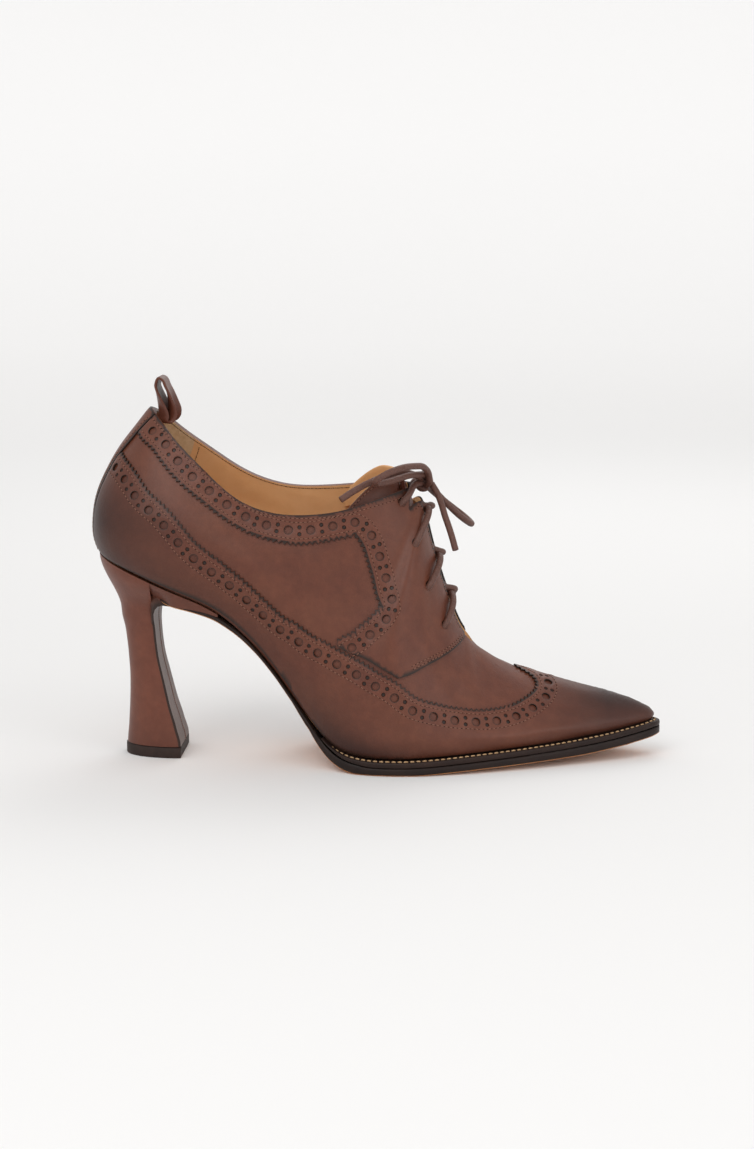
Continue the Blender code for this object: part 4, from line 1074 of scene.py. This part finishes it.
def heelRing(back, breast, halfWidth):
    angles = np.radians(np.linspace(-90, 90, heelPoints))
    x = breast - (breast - back) * np.cos(angles) ** 0.9
    y = heelY + halfWidth * np.sign(np.sin(angles)) * np.abs(np.sin(angles)) ** 0.95
    return np.column_stack([x, y])


def roundEnds(ring, size=0.7):
    ring = np.array(ring, float)
    for end, step in ((0, 1), (-1, -1)):
        ring[end, 1] -= math.copysign(size * 0.8, ring[end, 1] - heelY)
        ring[end + step, 0] = min(ring[end + step, 0], ring[end, 0] - size * 0.45)
    return ring


# The sole's leather curls down from the arch and covers the heel's breast; its cut edges are dark.
breastStitch = {"pitch": 0.9, "length": 1.1, "radius": 0.16}


def buildBreastFlap():
    path = [(float(smoothAt(heelTable, z, 2)), z) for z in np.linspace(4.95, 58.0, 24)]
    path += [(-102.3, 61.0), (-102.1, 63.6), (-101.4, 65.8), (-100.0, 67.3), (-98.0, 67.9), (-95.0, 67.5)]
    path += [(-91.0, float(smoothAt(soleBottom, -90.0)) - 0.1), (-88.0, float(smoothAt(soleBottom, -88.0)) + 0.2)]
    rows, edge = [], []
    for x, z in path:
        half = float(smoothAt(heelTable, min(z, neckZ), 3)) - 0.35
        backHalf = half
        if z > 58:
            half = 11.6 + (z - 58) * 0.62
            backHalf = half if x > -97.5 else 15.2
        low = z < 60
        backX, backZ = (max(-103.4, x - 1.6), z) if low else (-103.3, 71.5) if x < -97.5 else (x, z + 2.4)
        front = [(x + 0.55, heelY + half * s, z - (0 if low else 0.5))
                 for s in (-0.985, -0.93, -0.5, 0, 0.5, 0.93, 0.985)]
        rows.append([(x - 0.1, heelY - half, z)] + front + [
            (x - 0.1, heelY + half, z), (backX, heelY + backHalf, backZ), (backX, heelY - backHalf, backZ)])
        edge += [0.8, 0.9, 0, 0, 0, 0, 0, 0.9, 0.8, 0, 0]
    loft("breastFlap", rows, [breastCalf, heelCalf], [], lambda j: 1 if j in (8, 10) else 0, 0.1, edge)
    seam = [(x + 0.6, 1.6, z) for x, z in path[:26]]
    stitches("breastSeam", [smoothPath(seam, 1.0)], breastStitch, thread)


def buildHeel():
    levels = np.linspace(heelTable[0][0], heelTable[-1][0], 34)
    rings = []
    for z in levels:
        back, breast, half = (float(smoothAt(heelTable, z, column)) for column in (1, 2, 3))
        rings.append([(x, y, z) for x, y in roundEnds(heelRing(back, breast, half))])
    neck = roundEnds(heelRing(*heelTable[-1][1:]))
    loop = np.concatenate([loopStations - np.linspace(4, 0, 200), np.linspace(0, 4, 200)[1:]])
    line = outline(loop, 0 * loop - 0.2)
    angle = np.degrees(np.arctan2(line[:, 1], breastX - line[:, 0]))
    wanted = np.linspace(-90, 90, heelPoints)
    seat = np.column_stack([np.interp(wanted, angle, line[:, 0]), np.interp(wanted, angle, line[:, 1])])
    top = featherZ(seat[:, 0]) - gap
    meets = float((outsoleTop(breastX) + 2 * gap - neckZ) / (featherZ(breastX) - gap - neckZ))
    meetRing = None
    for share in np.concatenate([np.linspace(0.12, meets, 7), np.linspace(meets, 1, 5)[1:]]):
        swing = share ** 2 * (3 - 2 * share)
        plan = neck + (seat - neck) * swing
        if abs(share - meets) < 1e-6:
            meetRing = len(rings)
        rings.append([(x, y, neckZ + (z - neckZ) * share) for (x, y), z in zip(plan, top)])
    count = heelPoints
    points = np.array(rings).reshape(-1, 3)
    faces = strip(rings, False)
    for i in range(meetRing):
        a, b = i * count, (i + 1) * count
        faces.append([a, b, b + count - 1, a + count - 1])
    faces += [list(range(count)), list(range(len(points) - count, len(points)))[::-1]]
    # The heel block's colour is slightly darker towards the ground, below 18 mm up from the floor.
    shades = {"burnish": np.clip((18 - points[:, 2]) / 60, 0, 0.35), "edge": 0 * points[:, 0]}
    mesh = meshFrom("heelBlock", points, faces, None, shades)
    finishObject("heelBlock", mesh, [heelCalf], ["heel"])


# Between the heel and the sole: it carries the heel's cover on along the sole's edge until it runs out.
seatWedge = {"back": -103.4, "front": -73.0, "fade": 17.0, "blend": 11.0, "half": 15.6}


def buildSeatWedge():
    rows, half = [], seatWedge["half"]
    for p in np.linspace(stationAt(seatWedge["back"]), stationAt(seatWedge["front"]), 40):
        x = float(readLine(last["feather"], p)[0])
        cover = float(np.clip((seatWedge["front"] - x) / seatWedge["fade"], 0, 1)) ** 0.7
        blend = float(np.clip((x - seatWedge["back"]) / seatWedge["blend"], 0, 1))
        blend = blend * blend * (3 - 2 * blend)
        ring = []
        for spot, direction in ((loopStations - p, 1), (p, -1)):
            low, high = outline(spot, soleLine(x) + 0.35), outline(spot, -0.2)
            low[1] = heelY - direction * (half + (abs(low[1] - heelY) - half) * blend)
            top = float(outsoleTop(x)) + gap
            low[2] = top + (float(smoothAt(soleBottom, x)) + 0.75 - top) * cover
            high[2] = featherZ(high[0]) - gap
            side = []
            for share in np.linspace(0, 1, 9):
                swing = 0.29 + 0.71 * share
                bulge = (swing * swing * (3 - 2 * swing) - 0.203) / 0.797
                along = low + (high - low) * share
                along[1] = low[1] + (high[1] - low[1]) * (bulge + (share - bulge) * blend)
                side.append(along)
            ring += side if direction > 0 else side[::-1]
        rows.append([tuple(q) for q in ring])
    loft("heelSeatWedge", rows, [heelCalf], [], polish=0.25)


topPieceCut = {"back": -116.1, "breast": -90.7, "half": 15.1, "middle": (-103, -1), "levels": (
    (0.0, 0.985), (0.35, 1.0), (2.5, 1.0), (4.4, 1.0), (4.6, 0.985))}


def buildTopPiece():
    ring = roundEnds(heelRing(topPieceCut["back"], topPieceCut["breast"], topPieceCut["half"]), 0.5)
    middle = np.array(topPieceCut["middle"])
    rows = [[(x, y, z) for x, y in middle * (1 - k) + ring * k] for z, k in topPieceCut["levels"]]
    loft("topPiece", rows, [rubber], ["top_piece"])


buildOutsole()
buildWelt()
buildSock()
buildHeel()
buildSeatWedge()
buildBreastFlap()
buildTopPiece()
print("sole and heel ready")

# ---- tongue and pull loop ----
tongueTable = [
    (13.1, 7.0), (12.8, 9.0), (12.4, 11.0), (11.9, 12.5), (11.3, 14.0), (10.7, 15.0), (10.1, 15.0), (9.5, 14.0),
    (9.05, 12.5),
]


def buildTongue():
    outerDepth = shellDepth + wall + 6 * gap
    table = np.array(tongueTable, float)
    places = np.linspace(tongueTable[0][0], tongueTable[-1][0], 40)
    halves = np.interp(-places, -table[:, 0], table[:, 1])
    for _ in range(6):
        halves[1:-1] = (halves[:-2] + 2 * halves[1:-1] + halves[2:]) / 4
    across = 25
    shares = np.linspace(-1, 1, across)
    rows = []
    for station, half in zip(places, halves):
        heights = np.array([heightAtWidth(station, abs(s) * half) for s in shares])
        spots = np.where(shares < 0, loopStations - station, station)
        edge = np.abs(shares) ** 12
        rows.append([surface(spots, heights) - outward(spots, heights) * (outerDepth + depth + lift * edge)[:, None]
                     for depth, lift in ((0.0, 0.5), (2.0, -0.5))])
    middle, lastRow = across // 2, rows[-1]
    rise = unit((rows[-1][0] - rows[-2][0])[middle])
    for k in np.linspace(0, 1, 14)[1:]:
        width = 1 - 0.40 * k ** 1.6 - 0.12 * max(0, k - 0.8) * 5
        step = rise * 8.5 * k * (1 - 0.35 * np.abs(shares)[:, None] ** 2)
        rows.append([face[middle] + (face - face[middle]) * width + step for face in lastRow])
    grid = [np.concatenate([outer, inner[::-1]]) for outer, inner in rows]
    loft("tonguePiece", grid, [calf, lining], ["tongue"],
         lambda j: 0 if j < across or j == 2 * across - 1 else 1, 0.1)


# The wide top of the tongue, which stands out above the collar on both sides of the throat.
tongueWing = {"from": 6.25, "to": 8.2, "outer": 3.85, "inner": 5.25, "seamBelow": 1.9, "rows": 72}
tongueStitch = {"pitch": 1.9, "length": 1.35, "radius": 0.2}


def buildTongueTop():
    ends, seam = (tongueWing["from"], tongueWing["to"]), tongueWing["seamBelow"]
    places = np.concatenate([np.linspace(*ends, 24), loopStations - np.linspace(*ends[::-1], 24)])
    rows = []
    for p in places:
        top = surface(p, 1.0)
        up = unit(top - surface(p, 0.88))
        out = outward(p, 0.98)
        share = min(1.0, float(folded(p) - ends[0]) / 1.3)
        high = -3.5 + 12.5 * math.sin(share * math.pi / 2) ** 0.7
        low = -9.5 + 2.5 * share
        heights = np.concatenate([np.linspace(low, high - 0.5, 9), [high]])
        face, back = ([top + up * h - out * (depth + 0.05 * max(h, 0)) for h in heights]
                      for depth in (tongueWing["outer"], tongueWing["inner"]))
        face[-1] = face[-1] - out * 0.25
        back[-1] = back[-1] + out * 0.25
        rows.append(face + back[::-1] + [top + up * (high - seam) - out * (3.8 + 0.05 * max(high - seam, 0))])
    rows = evenRows(rows, tongueWing["rows"])
    rim = [row[-1] for row in rows]
    rows = [row[:-1] for row in rows]
    edge = [1.0 if j in (9, 10) else 0.0 for j in range(len(rows[0]))] * len(rows)
    loft("tongueTop", rows, [calf, lining], ["tongue"], lambda j: 0 if j < 9 else 1, 0.25, edge)
    stitches("tongueTopStitches", [rim], tongueStitch, thread)


pullLoop = [
    (-100.4, 145.4), (-99.6, 147.6), (-99.2, 150.0), (-99.8, 154.5), (-100.4, 159.5), (-99.0, 163.6), (-96.6, 162.8),
    (-94.7, 157.0), (-94.4, 150.5), (-95.6, 147.6), (-98.0, 144.6),
]


pullStrap = {"halfWidth": 7.5, "halfThick": 0.62, "bend": 0.09}


def buildPullLoop():
    knots = np.array(pullLoop)
    steps = np.arange(len(knots) * 6) / 6
    middle = softened(np.column_stack([pchip(knots[:, 0], steps), pchip(knots[:, 1], steps)]), 5)
    centre = middle[:, 0].mean()
    middle[:, 0] = centre - 0.6 + (middle[:, 0] - centre) * 0.86
    along = np.roll(middle, -1, axis=0) - np.roll(middle, 1, axis=0)
    out = unit(np.column_stack([-along[:, 1], along[:, 0]]))
    width, thick = pullStrap["halfWidth"], pullStrap["halfThick"]
    profile = [(-1, 0.55), (-0.96, 0.9), (-0.85, 1)] + [(s, 1) for s in np.linspace(-0.7, 0.7, 9)] + [
        (0.85, 1), (0.96, 0.9), (1, 0.55)]
    profile = profile + [(s, -h) for s, h in reversed(profile)]
    rows = []
    for (x, z), (ox, oz) in zip(middle, out):
        ring = []
        for s, h in profile:
            y = s * width
            bend = pullStrap["bend"] * y * y * min(1, max(0, (160 - z) / 13))
            ring.append((x + ox * h * thick + bend, y, z + oz * h * thick))
        rows.append(ring)
    points = np.array(rows).reshape(-1, 3)
    faces = [[i % len(points) for i in face] for face in strip(rows + rows[:1], True)]
    shades = {"burnish": 0 * points[:, 0] + 0.2, "edge": 0 * points[:, 0]}
    mesh = meshFrom("pullLoopStrap", points, faces, None, shades)
    finishObject("pullLoopStrap", mesh, [calf], ["pull_loop"])


buildTongue()
buildTongueTop()
buildPullLoop()
print("tongue and pull loop ready")

# ---- lace ----
laceRadius = 1.4
crossings = [9.5, 10.25, 10.95]
knotMiddle = (12.8, 118.6)
knotInside = [
    [(16.4, -4.9, 119.8), (15.0, -2.0, 117.6), (14.8, 1.5, 117.0), (16.4, 5.4, 116.4)],
    [(14.7, -5.0, 122.8), (14.4, -1.5, 121.4), (14.4, 1.5, 121.0), (14.6, 4.5, 121.0)],
    [(12.2, -4.9, 121.6), (13.0, -1.5, 119.0), (15.2, -1.0, 118.0), (16.9, -1.5, 118.4)],
]
bow = {
    "lace_loop_lateral": [
        (16.4, -4.9, 119.8), (15.0, -10.0, 125.5), (9.0, -20.0, 127.8), (1.5, -28.5, 126.8), (-5.0, -31.5, 123.6),
        (-6.2, -27.0, 121.3), (0.0, -21.0, 121.5), (7.0, -15.0, 123.2), (14.7, -5.0, 122.8)],
    "lace_loop_medial": [
        (14.6, 4.5, 121.0), (14.6, 11.0, 122.6), (12.5, 22.0, 117.5), (17.0, 31.5, 111.0), (25.0, 35.5, 104.0),
        (32.5, 32.5, 98.5), (34.0, 25.5, 97.5), (29.5, 18.5, 101.5), (22.0, 12.0, 109.5), (16.4, 5.4, 116.4)],
    "lace_end_1": [
        (12.2, -4.9, 121.6), (4.5, -11.5, 124.6), (-5.0, -18.5, 122.4), (-13.5, -24.5, 118.8), (-20.5, -28.0, 114.5)],
    "lace_end_2": [
        (16.9, -1.5, 118.4), (20.0, -4.0, 113.5), (22.5, -8.5, 106.5), (25.5, -13.0, 98.5), (27.5, -16.5, 92.0)],
}


def cordCurve(name, paths):
    curve = polyCurve(name, paths)
    curve.bevel_depth = laceRadius * mm
    curve.bevel_resolution = 4
    curve.use_fill_caps = True
    curve.materials.append(laceCord)
    return newObject(name, curve)


# A point above a place on the leather; side 1 is medial, -1 lateral.
def over(side, p, v, lift):
    spot = p if side > 0 else loopStations - p
    return surface(spot, v) + outward(spot, v) * lift


def asMesh(obj, nodes):
    name = obj.name + "Mesh"
    mesh = baked(obj)
    mesh.shade_smooth()
    return register(newObject(name, mesh), nodes)


def buildLace():
    strands = []
    for middleP, (lowP, lowV) in zip(crossings, eyelets[1:]):
        edgeP = lowP + (middleP - lowP) * 0.6
        edgeV = heightAtWidth(edgeP, throat["halfGap"])
        farP = middleP - 0.16
        nearV, underV = heightAtWidth(farP, 5.0), heightAtWidth(farP - 0.1, 9.0)
        for side, lift in ((-1, -0.8), (1, 2.0)):
            route = [
                over(side, lowP + 0.02, lowV - 0.012, -1.6), over(side, lowP, lowV, 0.6),
                over(side, lowP * 0.8 + edgeP * 0.2, lowV * 0.8 + edgeV * 0.2, laceRadius + 0.2),
                over(side, edgeP, edgeV, laceRadius + 0.2), over(1, middleP, 1.0, lift),
                over(-side, farP, nearV, -2.2), over(-side, farP - 0.1, underV, -4.6)]
            strands.append(smoothPath(route, 1.1))
    asMesh(cordCurve("laceCrossings", strands), ["lace_cross_1", "lace_cross_2", "lace_cross_3"])
    topP, topV = eyelets[0]
    x, z = knotMiddle
    parts = []
    for side in (1, -1):
        parts.append(smoothPath([
            over(side, topP, topV - 0.012, -1.6), over(side, topP, topV, 0.7),
            over(side, topP + 0.12, topV + 0.01, laceRadius + 0.2), (x - 2.5, 6.5 * side, z + 0.3),
            (x - 0.4, 2.6 * side, z + 0.2), (x, -0.6 * side, z - 0.6 * side)], 1.1))
    angles = np.linspace(0, 2 * math.pi, 25)
    for offset, size, tilt in ((-0.2, 2.45, 0.35), (1.9, 2.05, -0.25)):
        parts.append([(x + 0.5 + size * math.cos(a), offset + tilt * size * math.sin(a), z + size * math.sin(a))
                      for a in angles])
    parts += [smoothPath(path, 1.0) for path in knotInside]
    knotMesh = asMesh(cordCurve("laceKnot", parts), ["lace_knot"])
    for node, points in bow.items():
        fine = smoothPath(smoothPath(points, 5.6), 1.4)
        name = "bow" + "".join(word.capitalize() for word in node.split("_")[1:])
        piece = register(cordCurve(name, [fine]), [node])


buildLace()
print("lace ready")


# ---- stage ----
def buildStage():
    mesh = bpy.data.meshes.new("studioFloor")
    sweep = [(-4, 0), (1.6, 0), (2.2, 0.06), (2.7, 0.25), (3.1, 0.6), (3.35, 1.1), (3.45, 1.8), (3.5, 5)]
    points = [(x, y, z) for y, z in sweep for x in (-6, 6)]
    mesh.from_pydata(points, [], [[2 * i, 2 * i + 1, 2 * i + 3, 2 * i + 2] for i in range(len(sweep) - 1)])
    mesh.shade_smooth()
    floor = newObject("studioFloor", mesh)
    material, tree, shader = newMaterial("pale_studio_floor_with_painted_glow")
    split = addNode(tree, "ShaderNodeSeparateXYZ", None, {0: objectPlace(tree)})
    # Painted glow: the floor sweep emits more light towards its far end, so the backdrop brightens without a lamp.
    paintedBackdropGlow = addNode(tree, "ShaderNodeMapRange", {"From Min": 0.3, "From Max": 2.8, "To Max": 0.26},
                  {"Value": split.outputs["Y"]})
    setUp(tree, shader, {"Base Color": linear("#efeeed"), "Roughness": 0.85, "Specular IOR Level": 0.1,
                         "Emission Color": (1, 1, 1, 1)}, {"Emission Strength": paintedBackdropGlow.outputs[0]})
    mesh.materials.append(material)
    floor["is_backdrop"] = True


studioLights = [
    ("keyLight", (-0.35, -0.9, 1.0), (0, 0, 0.07), 0.9, 4.6), ("fillLight", (0.9, -0.7, 0.5), (0, 0, 0.06), 0.8, 1.8),
    ("rimLight", (0.2, 0.8, 0.9), (0, 0, 0.08), 0.7, 2.0),
]


def areaLight(name, location, target, size, power):
    data = bpy.data.lights.new(name, "AREA")
    data.shape = "DISK"
    data.size = size
    data.energy = power
    light = newObject(name, data)
    light.location = location
    light.rotation_mode = "QUATERNION"
    light.rotation_quaternion = (Vector(target) - Vector(location)).to_track_quat("-Z", "Y")


photoView = {"azimuth": 2.5, "elevation": 9.0, "distance": 1.0, "aim": (-0.0065, 0, 0.07859), "sensor": 36.0,
             "focal": 36.0 * 2314.8 / 1149}


def buildCamera():
    azimuth, elevation = math.radians(photoView["azimuth"]), math.radians(photoView["elevation"])
    back = Vector((math.sin(azimuth) * math.cos(elevation), -math.cos(azimuth) * math.cos(elevation),
                   math.sin(elevation)))
    data = bpy.data.cameras.new("photoCamera")
    data.sensor_width = photoView["sensor"]
    data.lens = photoView["focal"]
    data.clip_start, data.clip_end = 0.05, 40
    camera = newObject("photoCamera", data)
    camera.location = Vector(photoView["aim"]) + back * photoView["distance"]
    camera.rotation_mode = "QUATERNION"
    camera.rotation_quaternion = (-back).to_track_quat("-Z", "Y")
    bpy.context.scene.camera = camera


buildStage()
buildCamera()
for light in studioLights:
    areaLight(*light)
bpy.context.scene.view_settings.view_transform = "Standard"
world = bpy.data.worlds.new("studioAir")
world.use_nodes = True
ray = addNode(world.node_tree, "ShaderNodeLightPath").outputs["Is Camera Ray"]
setUp(world.node_tree, world.node_tree.nodes["Background"], {"Color": linear("#ffffff")},
      {"Strength": ranged(world.node_tree, ray, 0.74, 0.88)})
bpy.context.scene.world = world

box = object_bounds()
for name, ends in (("cad", cadBox), ("visual", box)):
    print(name, "box", [[round(c / mm, 1) for c in point] for point in ends])
